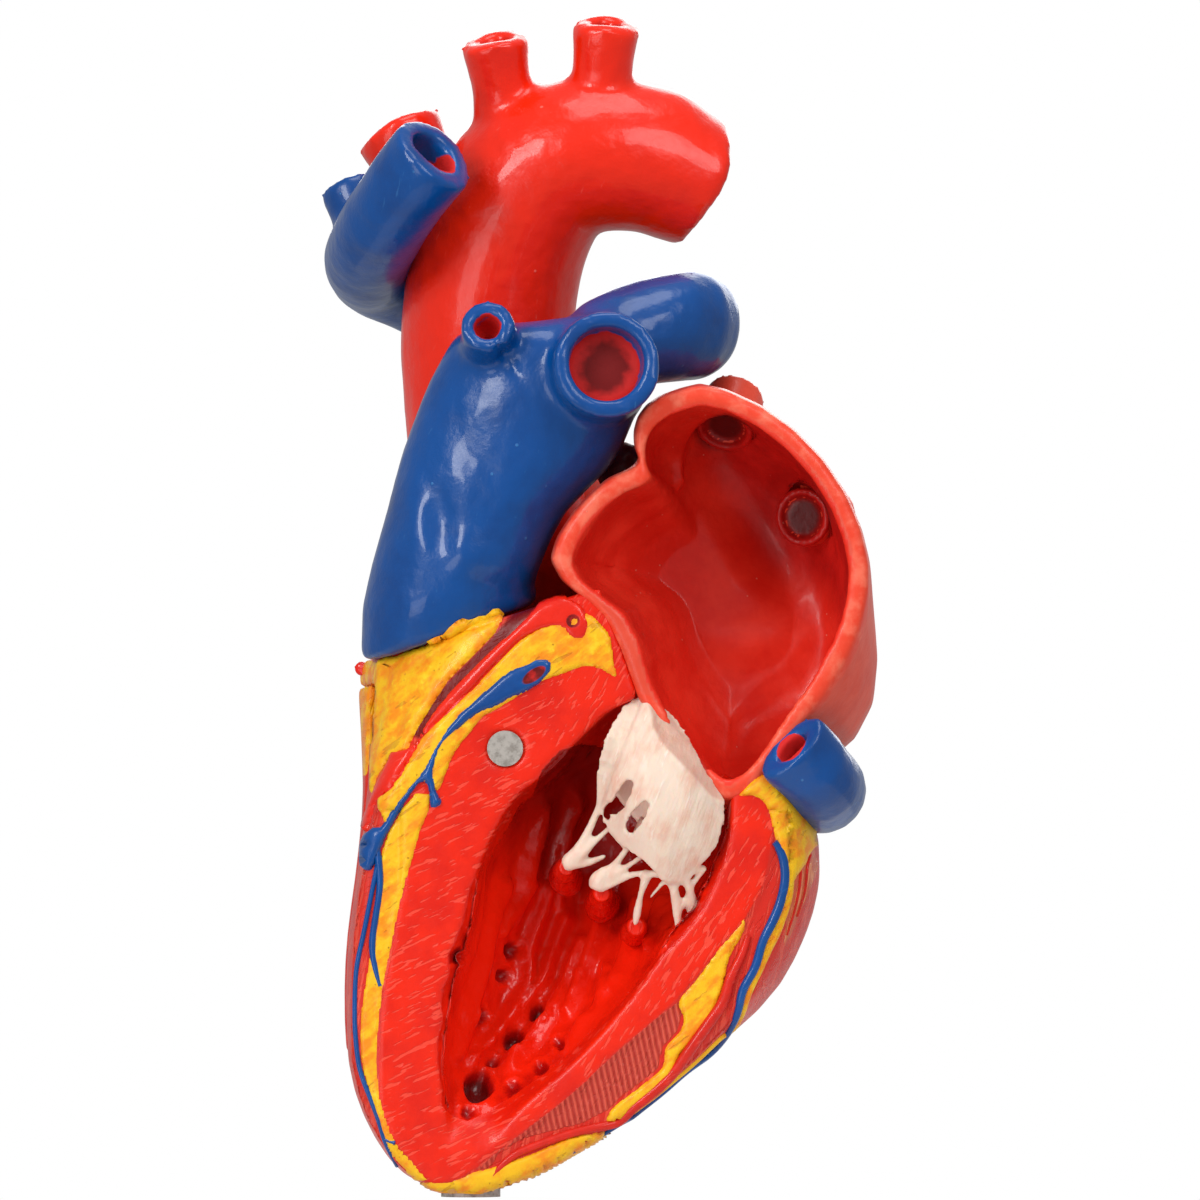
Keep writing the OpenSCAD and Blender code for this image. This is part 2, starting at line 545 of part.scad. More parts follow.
// Upper caval vein with the ends of its two branches, carried by the aorta
cava_rows = [[14, 107, 196 - foot, 1], [14, 107, 203, 1], [12.5, 107, 214, 1], [6, 105.5, 229, 1],
    [-9, 103, 242, 1], [-25, 89, 249, 1], [-28, 67, 253, 1], [-25, 46, 260, 1], [-18, 32, 270, 1],
        [-9.5, 24, 280, 1.02]];
cava_branch = [[-26, 62, 254, 9], [-29, 65, 262, 8], [-33.5, 69, 273, 8]];
cava_branch_bore_r = 4;
module superior_vena_cava() color(vein_blue) on_base(root_spot)
    difference() {
        union() {
            skin(bored(tube([for (r = cava_rows) [r[0], r[1], r[2], r[3] * upper_cava_r]], 22, 20),
                upper_cava_bore_r, end_bore_depth));
            skin(bored(tube(cava_branch, 4, 16), cava_branch_bore_r, end_bore_depth));
        }
        level_cut(cava_seat, upper_cava_r + foot);
    }

// Pulmonary trunk. Rows of its outline: left [x, z], right [x, z], middle and half of the depth
TRUNK = [[[-29.4, 159], [17, 162.5], [23, 1]], [[-26.3, 171.3], [19.3, 170.5], [22, 1]],
    [[-22.5, 184.7], [25.5, 184], [22, 1]], [[-18.8, 199.4], [37.8, 196.5], [22, 1]],
    [[-13.4, 214.1], [43.2, 207], [21, 0.95]], [[-7.5, 226], [46, 216], [20, 0.9]],
    [[-3, 232.5], [47.5, 226], [19, 0.8]], [[5, 235], [47, 233.5], [19, 0.62]],
        [[17, 236], [43, 238.5], [19, 0.36]]];
trunk_seat = [-5.5, 24, 151.5];
trunk_seat_half = 24.3;
foot_round = 3;
trunk_bore = 15;
trunk_bore_depth = 14;
trunk_sides = 28;
function oval(c, across, y_half) =
    [for (k = [0:trunk_sides - 1]) c + cos(360 * k / trunk_sides) * across + [0,
        y_half * sin(360 * k / trunk_sides), 0]];
function trunk_ring(t) =
    let (r = spline(TRUNK, t), m = mix(r[0], r[1], 0.5), h = (r[1] - r[0]) / 2)
    oval([m.x, r[2][0], m.y], [h.x, 0, h.y], r[2][1] * trunk_depth / 2);
function seat_ring(half, y_half, lift) =
    let (c = trunk_seat, low = seat_z(c.x * sx) - (sz - 1) * c.z)
    oval([c.x, c.y, low + seat_gap + lift], [half, 0, half * seat_slope], y_half);
trunk_rings = concat([seat_ring(trunk_bore, trunk_bore, trunk_bore_depth),
    seat_ring(trunk_bore, trunk_bore, 0),
    seat_ring(trunk_seat_half - foot_round, trunk_depth / 2 - foot_round, 0),
    seat_ring(trunk_seat_half - 0.3 * foot_round, trunk_depth / 2 - 1.5, 0.3 * foot_round),
    seat_ring(trunk_seat_half, trunk_depth / 2 - 1, foot_round)], [for (t = [0:0.5:8]) trunk_ring(t)]);
module stump(rows, r, bore, n = 6)
    skin(bored(tube([for (q = rows) [q.x, q.y, q.z, q[3] * r]], n, 24, [1, 0, 0.01]),
    bore, end_bore_depth));
module pulmonary_trunk() color(vein_blue) on_base(trunk_seat) {
    skin(trunk_rings);
    stump([[33, 24, 219, 1.0], [35.5, 4, 222.5, 0.98], [36.7, -11, 224, 1]], left_stump_r,
        left_stump_bore_r);
    stump([[6, 22, 225, 1.25], [5, 8, 230, 1.05], [4.6, -4, 234.5, 1]], lobe_stump_r, lobe_stump_bore_r);
    stump([[33, 22, 228, 0.85], [46, 28, 232.5, 0.96], [57, 38, 233.8, 0.98], [58.5, 54, 233.5, 0.92]],
        right_branch_r, right_branch_r - 4.5, 8);
}

// Pulmonary valve: a ring let into the seat of the trunk, flush with it, with three cusps
pulmonary_ring_root = 8;
pulmonary_ring_sink = 0.3;
pulmonary_flange = 1.5;
module at_seat()
    translate([trunk_seat.x, trunk_seat.y,
        seat_z(trunk_seat.x * sx) - (sz - 1) * trunk_seat.z - pulmonary_ring_sink])
        rotate([0, -atan(seat_slope), 0]) children();
module pulmonary_pocket() at_seat()
    disc(2 * (pulmonary_ring_r + pulmonary_flange + fit_gap), -pulmonary_ring_root - fit_gap, cut_over);
module pulmonary_valve() color(valve_cream) on_base(trunk_seat) at_seat() {
    valve_ring(pulmonary_ring_r, pulmonary_ring_r + pulmonary_flange, pulmonary_ring_root, 0, valve_wall);
    cusps(pulmonary_ring_r - valve_wall, leaflet_t);
}

// Coronary sinus, from the right atrium round the groove to its cut end beside the left atrium
sinus_middle = [90, 20, 112];
sinus_bore_r = 4;
sinus_rows = [[73, 84 + atrium_shift, 125, 0.7], [84, 66 + atrium_shift / 2, 115, 0.78],
    [90, 46, 110, 0.92],
    [94.5, 30, 109, 1.02], [94.5, 14, 111, 1.03], [91.5, 3.5, 115.5, 0.95], [86, -4.5, 121.5, 0.8]];
module coronary_sinus() color(vein_blue) on_base(sinus_middle)
    skin(bored(tube([for (q = sinus_rows) [q.x, q.y, q.z, q[3] * sinus_r]], 14, 18), sinus_bore_r,
        end_bore_depth));

// Mitral valve: leaflets through nets of points, from the opening of the atrium to the free edge
function net(rows, u, v) = spline([for (r = rows) spline(r, v)], u);
FRONT_LEAFLET = [[[46.5, 1, 134.5], [54.3, -3, 127], [62, -4, 117.5], [69.5, 1, 106.5]],
    [[42.3, -5, 124.4], [49.6, -9, 116.3], [57.6, -9, 108.3], [68.3, -2, 101.6]],
    [[37.5, -3, 112.3], [45.6, -9, 103], [54.1, -9, 96.2], [66.5, -1, 93.5]],
    [[34, 4, 103], [42.9, -2, 92.2], [52.3, -3, 84.7], [63.8, 3, 86.8]]];
REAR_LEAFLET = [[[69, 3, 107], [65, 26, 112], [52, 31, 127], [46, 4, 134.5]],
    [[62, 5, 98], [57, 23, 103], [45, 26, 118], [38, 5, 124]],
    [[57, 7, 92], [49, 19, 96], [38, 22, 109], [34, 7, 114]]];
leaflet_steps = 9;
module leaflet(rows, outward) {
    far = len(rows) - 1;
    side = len(rows[0]) - 1;
    grid = [for (i = [0:leaflet_steps]) [for (k = [0:leaflet_steps])
        net(rows, i * far / leaflet_steps, k * side / leaflet_steps)]];
    plate(grid, [for (r = grid) move(r, outward * leaflet_t)]);
}
module mitral_front_leaflet() color(valve_cream) on_base(mitral_middle)
    leaflet(FRONT_LEAFLET, [0.3, 0.9, 0.3]);
module mitral_rear_leaflet() color(valve_cream) on_base(mitral_middle)
    leaflet(REAR_LEAFLET, [0.3, -0.9, 0.3]);

// Tendon strings from the free edges to the tips of the papillary muscles
TIPS = [[25.7, 8, 90], [35.4, 6, 83], [44.5, 7, 74], [56.5, 6, 73], [61, 7, 77.5]];
STRINGS = [[[35, 4.5, 104], 0], [[38, 2.5, 98.5], 0], [[38.6, 2.5, 97.5], 1], [[43, -0.5, 92.5], 1],
    [[46.5, -1, 89.6], 2],
    [[50.5, -2, 86.5], 2], [[54.5, -1.5, 85.5], 3], [[59.5, 1, 86.6], 3], [[63, 3.5, 87.5], 4]];
string_flare = 1.9;
module mitral_strings() color(valve_cream) on_base(mitral_middle)
    for (q = STRINGS) let (a = q[0], b = TIPS[q[1]])
        skin(tube([concat(a, [string_r * string_flare]), concat(mix(a, b, 0.4), [string_r]),
            concat(mix(a, b, 0.8), [string_r]), concat(b, [string_r * string_flare])], 4, 6));
module papillary_muscles() color(muscle_red) on_base(mitral_middle)
    for (i = [0:len(TIPS) - 1]) let (p = TIPS[i], root = [p.x, 46, p.z - 5])
        skin(tube([concat(root, [5.5]), concat(mix(root, p, 0.5), [3.8]), concat(mix(root, p, 0.85), [2.7]),
            concat(p + [0, 1.5, -1], [2.3])], 6, 10));

// Tricuspid valve: a curtain of three scallops under the upper ledge of the right chamber
tricuspid_spans = [0.99, 1.48];
tricuspid_rows = [8.25, 6.7];
tricuspid_depth = 9.5;
scallops = 3;
function curtain(f, g, extra) =
    let (drop = mix(0.55, 1, pow(abs(sin(180 * scallops * g)), 0.6)),
        t = mix(tricuspid_rows[0], tricuspid_rows[1], f * drop))
    under(t, mix(tricuspid_spans[0], tricuspid_spans[1], g), tricuspid_depth + 3 * f + extra);
module tricuspid_valve() color(valve_cream) placed()
    plate([for (f = steps(1, 0, 5)) [for (g = steps(0, 1, 18)) curtain(f, g, 0)]],
        [for (f = steps(1, 0, 5)) [for (g = steps(0, 1, 18)) curtain(f, g, leaflet_t)]]);
module tricuspid_strings() color(valve_cream) placed()
    for (i = [0:scallops - 1], w = [0.3, 0.7])
        let (g = (i + w) / scallops, a = curtain(0.97, g, leaflet_t / 2),
        b = under(5.6, mix(tricuspid_spans[0], tricuspid_spans[1], (i + 0.5) / scallops),
            right_wall_t + right_chamber_depth + 1))
        skin(tube([concat(a, [string_r]), concat(mix(a, b, 0.5), [string_r * 0.8]), concat(b, [string_r])],
            3, 6));

// Vessels on the cut face: rows of [x, z], a little sunk into it
face_sink = 0.25;
function on_face(q, r) = [q.x * sx, r * face_sink, q.y * sz, r];
module face_vessel(points, radii, n) placed()
    skin(tube([for (i = [0:len(points) - 1]) on_face(points[i], radii[i])], n, 10));
descending_points = [[25, 158], [13.4, 149], [2.7, 135.5], [-8, 123], [-17.5, 111], [-24.5, 99]];
module anterior_descending_artery() color(artery_red)
    face_vessel(descending_points, [for (k = [1.8, 1.9, 1.9, 1.75, 1.5, 1.1]) k * artery_r], 14);
cardiac_vein_points = [[21, 142.5], [8, 134], [-2.7, 124.5], [-8.5, 116.5], [-14, 108], [-20.5, 100],
    [-26, 92]];
module great_cardiac_vein() color(vein_blue) {
    face_vessel(cardiac_vein_points, [for (k = [1.7, 1.6, 1.3, 1.2, 1.2, 1.2, 1.4]) k * vein_r], 14);
    face_vessel([[-12, 112], [-9.5, 109.5], [-9, 106.5]], [for (k = [1, 0.9, 1]) k * vein_r], 3);
    face_vessel([[-23, 97], [-24, 79], [-26, 66], [-24.8, 57.5]],
        [for (k = [0.9, 0.7, 0.6, 0.6]) k * vein_r], 6);
}

// Vessels on the outside: rows of [section, span, radius]
outer_sink = 0.3;
module outer_vessel(rows, n, r) placed()
    skin(tube([for (q = smooth(rows, n)) concat(under(q[0], q[1], r * q[2] * outer_sink), [r * q[2]])], n,
        8));
module marginal_artery() color(artery_red) {
    outer_vessel([[6.3, 2.9, 1.1], [5.2, 2.88, 1], [4.2, 2.84, 0.9], [3.2, 2.74, 0.85], [2.2, 2.7, 0.8],
        [1.3, 2.75, 0.7]], 14, artery_r);
    outer_vessel([[7.1, 2.42, 0.8], [6.3, 2.32, 0.75], [5.5, 2.3, 0.7], [4.8, 2.34, 0.6]], 6, artery_r);
}
module marginal_vein() color(vein_blue)
    outer_vessel([[7.2, 2.86, 1], [6.2, 2.76, 1], [5.2, 2.72, 1], [4.2, 2.68, 0.9], [3.2, 2.55, 0.8],
        [2.2, 2.45, 0.7],
        [1.4, 2.45, 0.6]], 14, vein_r);
module right_coronary_artery() color(artery_red)
    outer_vessel([[9.75, 1.02, 1.1], [9.75, 1.2, 1.1], [9.75, 1.4, 1.1], [9.72, 1.58, 1.1],
        [9.4, 1.74, 1.1],
        [8, 1.78, 1.1], [6.4, 1.79, 1], [5, 1.8, 0.9], [3.7, 1.82, 0.7]], 24, artery_r);
module middle_cardiac_vein() color(vein_blue)
    outer_vessel([[9.6, 1.86, 1.2], [8, 1.87, 1.1], [6.4, 1.88, 1], [5, 1.89, 0.9], [3.7, 1.92, 0.8],
        [2.6, 1.9, 0.6]],
        16, vein_r);

// Fat: pads on the outside between sections and spans, and plates on the cut face inside outlines of [x, z]
fat_root = 1.6;
module fat_pad(rows, spans, nr, ns) placed()
    plate([for (t = steps(rows[0], rows[1], nr)) [for (s = steps(spans[0], spans[1], ns)) under(t, s,
        -fat_rise)]],
        [for (t = steps(rows[0], rows[1], nr)) [for (s = steps(spans[0], spans[1], ns)) under(t, s,
            fat_root)]]);
module fat_plate(points, n) placed() translate([0, fat_root, 0]) rotate([90, 0, 0])
    linear_extrude(fat_root + fat_rise) polygon([for (q = smooth_loop(points, n)) [q.x * sx, q.y * sz]]);
module conus_fat() color(fat_yellow) fat_pad([7.2, base_row - 0.08], [0.06, 0.62], 9, 7);
module groove_fat() color(fat_yellow) fat_pad([6.4, base_row - 0.08], [2.4, 2.94], 8, 6);
module septal_fat() color(fat_yellow)
    fat_plate([[42.5, 137], [39, 149], [34, 155.5], [26, 154.5], [14, 146.5], [3, 134],
    [-7, 121], [-16, 109], [-23, 98], [-27, 86], [-29, 70], [-29.3, 52], [-27.5, 38], [-25.5, 27],
        [-26, 40], [-24.5, 56],
    [-23, 70], [-19, 84], [-13.5, 98], [-8.5, 110], [-7, 117.5], [1, 128.5], [10, 134.5], [18, 138.5],
        [29, 143.5],
    [38, 141]], 52);
module apex_fat() color(fat_yellow) fat_pad([0.45, 1.9], [2.3, 2.95], 4, 6);

heart_body();
heart_apex();
right_ventricle_wall();
left_atrium();
right_atrium();
aorta();
superior_vena_cava();
inferior_vena_cava();
pulmonary_trunk();
pulmonary_veins();
coronary_sinus();
mitral_front_leaflet();
mitral_rear_leaflet();
mitral_strings();
papillary_muscles();
aortic_valve();
pulmonary_valve();
tricuspid_valve();
tricuspid_strings();
anterior_descending_artery();
great_cardiac_vein();
marginal_artery();
marginal_vein();
right_coronary_artery();
middle_cardiac_vein();
conus_fat();
groove_fat();
septal_fat();
apex_fat();
face_magnet();
seat_magnets();
wall_magnets();
locating_pins();
stand_socket();
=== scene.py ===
"""A heart teaching model, cut open on its left side, in painted vinyl. Metres, in the frame of the model."""
import math
import bmesh
import bpy
import numpy as np
from mathutils import Matrix, Vector, noise
from mathutils.bvhtree import BVHTree


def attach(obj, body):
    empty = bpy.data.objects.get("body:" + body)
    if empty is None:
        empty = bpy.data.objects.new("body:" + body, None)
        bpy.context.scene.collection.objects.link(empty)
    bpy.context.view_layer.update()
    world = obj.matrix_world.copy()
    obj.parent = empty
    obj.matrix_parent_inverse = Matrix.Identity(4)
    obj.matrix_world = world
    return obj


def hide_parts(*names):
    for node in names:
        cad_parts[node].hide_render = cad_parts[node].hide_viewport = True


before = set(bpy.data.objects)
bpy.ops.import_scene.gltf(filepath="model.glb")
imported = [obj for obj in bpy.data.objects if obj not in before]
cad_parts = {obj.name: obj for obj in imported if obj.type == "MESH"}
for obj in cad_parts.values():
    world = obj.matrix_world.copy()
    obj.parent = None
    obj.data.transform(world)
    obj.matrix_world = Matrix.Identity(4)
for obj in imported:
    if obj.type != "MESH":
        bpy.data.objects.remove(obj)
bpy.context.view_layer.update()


# ---- Camera and lights
# The photograph's frame is 1200 pixels square. The camera looks level at the cut face, from far off.
# Five soft lamps stand round the model, and the world behind it is white.
PIXEL = 0.000268
FRAME = 1200
LEFT, FOOT = 470, 1194
MIDDLE_ROW = 594
FACE = -0.034
FAR = 6
SENSOR = 36


def look(obj, at):
    """Turns a camera or a lamp to a place, and puts it in the scene"""
    obj.rotation_euler = (Vector(at) - obj.location).to_track_quat("-Z", "Y").to_euler()
    bpy.context.scene.collection.objects.link(obj)
    return obj


camera_data = bpy.data.cameras.new("camera")
camera_data.sensor_width = SENSOR
camera_data.lens = SENSOR * FAR / (FRAME * PIXEL)
camera_data.clip_end = FAR * 5
camera = bpy.data.objects.new("camera", camera_data)
middle = Vector(((FRAME / 2 - LEFT) * PIXEL, FACE, (FOOT - MIDDLE_ROW) * PIXEL))
camera.location = middle - Vector((0, FAR, 0))
bpy.context.scene.camera = look(camera, middle)

# place, width, height and watts
LIGHTS = {
    "key": ((-0.85, -1.2, 0.85), 0.45, 0.6, 11),
    "front": ((0.95, -1.5, 1.10), 0.8, 0.8, 12),
    "fill": ((-0.9, -1.5, -0.25), 0.8, 0.8, 6),
    "top": ((0.15, -0.25, 1.4), 0.7, 0.6, 6),
    "back": ((0.3, 1.4, 0.8), 1.2, 1.0, 11),
}
for name, (place, wide, high, watts) in LIGHTS.items():
    lamp = bpy.data.lights.new(name, "AREA")
    lamp.shape = "RECTANGLE"
    lamp.size, lamp.size_y, lamp.energy = wide, high, watts
    holder = bpy.data.objects.new(name, lamp)
    holder.location = place
    look(holder, (0.03, 0, 0.17))

world = bpy.data.worlds.new("studio")
bpy.context.scene.world = world
world.use_nodes = True
sky = world.node_tree.nodes["Background"]
seen = world.node_tree.nodes.new("ShaderNodeBackground")
for backdrop, strength in ((sky, 0.43), (seen, 1)):
    backdrop.inputs["Color"].default_value = (1, 1, 1, 1)
    backdrop.inputs["Strength"].default_value = strength
path = world.node_tree.nodes.new("ShaderNodeLightPath")
both = world.node_tree.nodes.new("ShaderNodeMixShader")
world_out = world.node_tree.nodes["World Output"]
for start, end in ((path.outputs["Is Camera Ray"], both.inputs[0]), (sky.outputs[0], both.inputs[1]),
                   (seen.outputs[0], both.inputs[2]), (both.outputs[0], world_out.inputs["Surface"])):
    world.node_tree.links.new(start, end)
bpy.context.scene.view_settings.view_transform = "Standard"


# ---- Floor: a plain pale board under the model
# Painted card, a little below the mouth of the stand socket. Sock and Shade, which make its paint here, make
# all the other paints too.
class Sock:
    """A socket of a shader that takes sums"""
    def __init__(self, shade, socket):
        self.shade, self.socket = shade, socket

    def op(self, kind, *others):
        return self.shade.node("ShaderNodeMath", self, *others, operation=kind)

    def __add__(self, other):
        return self.op("ADD", other)

    def __radd__(self, other):
        return self.op("ADD", other)

    def __sub__(self, other):
        return self.op("SUBTRACT", other)

    def __rsub__(self, other):
        return self.op("MULTIPLY", -1) + other

    def __mul__(self, other):
        return self.op("MULTIPLY", other)

    def __rmul__(self, other):
        return self.op("MULTIPLY", other)

    def high(self, other):
        return self.op("MAXIMUM", other)

    def ramp(self, low, high):
        """0 below low and 1 over high, smooth between them; high may be the smaller one"""
        if low > high:
            return 1 - self.ramp(high, low)
        return self.shade.node("ShaderNodeMapRange", self, low, high, 0, 1, interpolation_type="SMOOTHSTEP")


class Shade:
    """A material. Its node method adds any node, with sockets or numbers for its inputs"""
    def __init__(self, name):
        self.material = bpy.data.materials.new(name)
        self.material.use_nodes = True
        self.tree = self.material.node_tree
        self.skin = self.tree.nodes["Principled BSDF"]
        self.place = self.node("ShaderNodeTexCoord", out="Object")

    def put(self, socket, value):
        if isinstance(value, Sock):
            self.tree.links.new(value.socket, socket)
        elif isinstance(value, (tuple, list)) and socket.type == "RGBA":
            socket.default_value = (*value, 1)
        else:
            socket.default_value = value

    def node(self, kind, *values, out=0, named=None, **settings):
        made = self.tree.nodes.new(kind)
        for key, value in settings.items():
            setattr(made, key, value)
        for socket, value in zip(made.inputs, values):
            self.put(socket, value)
        for key, value in (named or {}).items():
            self.put(made.inputs[key], value)
        return Sock(self, made.outputs[out])

    def attribute(self, name):
        return self.node("ShaderNodeAttribute", out="Fac", attribute_name=name)

    def grain(self, sizes, turn=(0, 0, 0)):
        """Object coordinates along turned axes, in units of these sizes"""
        return self.node("ShaderNodeMapping", vector_type="TEXTURE",
                         named={"Vector": self.place, "Rotation": turn, "Scale": sizes})

    def noise(self, size, detail=2, rough=0.5, where=None):
        """Cloudy noise from 0 to 1, with lumps of this size"""
        return self.node("ShaderNodeTexNoise", out="Fac", named={
            "Vector": where or self.place, "Scale": 1 / size, "Detail": detail, "Roughness": rough})

    def cells(self, size):
        """Distance from the middles of cells of this size, as a share of it"""
        return self.node("ShaderNodeTexVoronoi", out="Distance", named={
            "Vector": self.place, "Scale": 1 / size})

    def mix(self, first, second, share):
        made = self.tree.nodes.new("ShaderNodeMix")
        made.data_type = "RGBA"
        for socket, value in zip((made.inputs[0], made.inputs[6], made.inputs[7]), (share, first, second)):
            self.put(socket, value)
        return Sock(self, made.outputs[2])

    def finish(self, colour, roughness, height=None, **settings):
        """The material, with this relief in metres and these other sockets"""
        self.put(self.skin.inputs["Base Color"], colour)
        self.put(self.skin.inputs["Roughness"], roughness)
        if height is not None:
            self.put(self.skin.inputs["Normal"], self.node("ShaderNodeBump", out="Normal", named={
                "Height": height, "Distance": 1.0, "Strength": 1.0}))
        for key, value in settings.items():
            self.put(self.skin.inputs[key.replace("_", " ")], value)
        return self.material


def meshed(name, form):
    mesh = bpy.data.meshes.new(name)
    form.to_mesh(mesh)
    form.free()
    return mesh


board = bmesh.new()
bmesh.ops.create_grid(board, x_segments=1, y_segments=1, size=0.22)
floor = bpy.data.objects.new("floor", meshed("floor", board))
floor.location = (0.03, 0.02, -0.014)
bpy.context.scene.collection.objects.link(floor)
pale = Shade("pale_floor")
card = pale.mix((0.80, 0.80, 0.79), (0.76, 0.76, 0.75), pale.noise(0.03, 3))
floor.data.materials.append(pale.finish(card, 0.7))


# ---- Ventricles: one red casting, open at the cut face, with a rough glossy chamber
# Painted vinyl. Its two solids are joined here, and the chamber gets its ridges and pits.
# Outlines are pixels of the photograph, laid on the plane of the cut face.
SATIN = {"Specular_IOR_Level": 0.25, "Coat_Weight": 0.10, "Coat_Roughness": 0.12}


def spots(pixels):
    """x and z on the cut face, in metres, of pixels of the photograph"""
    return (np.array(pixels, float) - (LEFT, FOOT)) * (PIXEL, -PIXEL)


def rounded(line, closed=False, step=0.0008):
    """A smooth curve through these points"""
    line = np.array(line, float)
    n = len(line)
    rows = []
    for i in range(n if closed else n - 1):
        around = range(i - 1, i + 3)
        a, b, c, d = (line[k % n] if closed else line[min(max(k, 0), n - 1)] for k in around)
        square = 2 * a - 5 * b + 4 * c - d
        cubic = 3 * b - a - 3 * c + d
        count = max(1, int(np.linalg.norm((c - b)[:2]) / step))
        for f in np.arange(count) / count:
            rows.append(b + 0.5 * f * ((c - a) + f * (square + f * cubic)))
    return np.array(rows if closed else rows + [line[-1]])


def nearest(points, line, closed=False):
    """Distance of each point from a line, and the nearest point on it"""
    ends = np.roll(line, -1, 0) if closed else line[1:]
    starts = line if closed else line[:-1]
    best = np.full(len(points), 9.0)
    where = np.zeros((len(points), 2))
    for a, b in zip(starts, ends):
        way = b - a
        f = np.clip((points - a) @ way / max(way @ way, 1e-12), 0, 1)
        at = a + f[:, None] * way
        gap = np.hypot(*(points - at).T)
        closer = gap < best
        best[closer] = gap[closer]
        where[closer] = at[closer]
    return best, where


def inset(points, loop):
    """How far each point lies inside a closed loop, negative outside it"""
    gap, _ = nearest(points, loop, True)
    inside = np.zeros(len(points), bool)
    for a, b in zip(loop, np.roll(loop, -1, 0)):
        if a[1] != b[1]:
            over = (a[1] > points[:, 1]) != (b[1] > points[:, 1])
            inside ^= over & (points[:, 0] < a[0] + (points[:, 1] - a[1]) * (b[0] - a[0]) / (b[1] - a[1]))
    return np.where(inside, gap, -gap)


def region(points, pixels, sharp=False):
    """How far each point lies inside an outline of pixels, with round or sharp corners"""
    loop = spots(pixels)
    return inset(points, loop if sharp else rounded(loop, True, 0.0015))


def new_piece(name, mesh, body, *nodes):
    """A visible piece that moves with a body and stands for these nodes of the model"""
    piece = bpy.data.objects.new(name, mesh)
    bpy.context.scene.collection.objects.link(piece)
    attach(piece, body)
    if nodes:
        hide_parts(*nodes)
    mesh.shade_smooth()
    return piece


def joined(name, nodes):
    """One mesh of copies of the model's nodes"""
    form = bmesh.new()
    for node in nodes:
        form.from_mesh(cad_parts[node].data)
    bmesh.ops.remove_doubles(form, verts=form.verts, dist=1e-5)
    return meshed(name, form)


def settle(piece):
    """Makes the modifiers' result the piece's own mesh"""
    piece.data = bpy.data.meshes.new_from_object(piece.evaluated_get(bpy.context.evaluated_depsgraph_get()))
    piece.modifiers.clear()
    piece.data.shade_smooth()


def remesh(piece, voxel, rounds):
    """An even mesh of this voxel size, softened by so many rounds"""
    grid = piece.modifiers.new("grid", "REMESH")
    grid.mode, grid.voxel_size = "VOXEL", voxel
    soft = piece.modifiers.new("soft", "SMOOTH")
    soft.factor, soft.iterations = 0.5, rounds
    settle(piece)


def cast(name, body, voxel, rounds, *nodes):
    """The nodes' own meshes, joined, remeshed and softened"""
    piece = new_piece(name, joined(name, nodes), body, *nodes)
    remesh(piece, voxel, rounds)
    return piece


def points_of(piece):
    flat = np.zeros(len(piece.data.vertices) * 3)
    piece.data.vertices.foreach_get("co", flat)
    return flat.reshape(-1, 3)


def normals_of(piece):
    flat = np.zeros(len(piece.data.vertices) * 3)
    piece.data.vertex_normals.foreach_get("vector", flat)
    return flat.reshape(-1, 3)


def move_points(piece, points):
    piece.data.vertices.foreach_set("co", points.ravel())
    piece.data.update()


def mark(piece, name, values):
    """A number on each point, or one for all of them, that the paint reads"""
    layer = piece.data.attributes.new(name, "FLOAT", "POINT")
    layer.data.foreach_set("value", np.full(len(piece.data.vertices), values, np.float32))


def paint(piece, material):
    piece.data.materials.clear()
    piece.data.materials.append(material)


def lumps(points, size, seed=0.0):
    """Smooth noise of about -1 to 1 at points"""
    return np.array([noise.noise(Vector(p)) for p in points / size + seed])


def from_pixel(flat, px, py):
    """The way from a pixel to each point, in metres"""
    return flat - spots([(px, py)])[0]


CHAMBER = [(605, 742), (580, 738), (560, 745), (543, 762), (532, 790), (518, 800), (507, 822), (497, 838),
           (484, 858), (469, 880), (461, 917), (452, 939), (447, 949), (448, 970), (441, 982), (440, 1002),
           (442, 1015), (436, 1037), (438, 1064), (442, 1084), (440, 1100), (456, 1113), (469, 1117),
           (485, 1109), (505, 1096), (534, 1076), (554, 1062), (575, 1043), (595, 1023), (616, 1002),
           (640, 978), (662, 950), (683, 930), (703, 905), (715, 880), (727, 850), (731, 825), (727, 795),
           (700, 720), (640, 700)]
CUT_FACE = [(405, 880), (399, 900), (393, 941), (389, 962), (383, 994), (381, 1023), (379, 1064),
            (381, 1104), (389, 1125), (395, 1137), (412, 1155), (428, 1176), (452, 1174), (473, 1164),
            (505, 1139), (560, 1097), (586, 1075), (612, 1049), (637, 1028), (663, 1006), (680, 990),
            (705, 960), (719, 942), (733, 926), (745, 912), (762, 880), (769, 850), (772, 822), (768, 805),
            (752, 790), (738, 790), (700, 700), (640, 640), (600, 600), (560, 580), (500, 640), (450, 690),
            (418, 740), (405, 800)]
RIDGES = [
    [(526, 880), (510, 906), (497, 927)],
    [(548, 886), (536, 921), (526, 949), (526, 978), (510, 1011), (471, 1055)],
    [(565, 917), (552, 949), (542, 978), (514, 1011)],
    [(583, 941), (565, 982), (554, 1006), (534, 1035), (510, 1062)],
    [(612, 968), (603, 1006), (587, 1023), (575, 1043)],
    [(600, 880), (598, 930), (583, 975), (570, 1010)],
    [(640, 900), (632, 940), (618, 985)],
    [(540, 800), (532, 840), (520, 880)],
    [(575, 790), (562, 850), (556, 900)],
    [(500, 880), (485, 930), (470, 990), (455, 1050)],
    [(668, 900), (655, 940)],
]
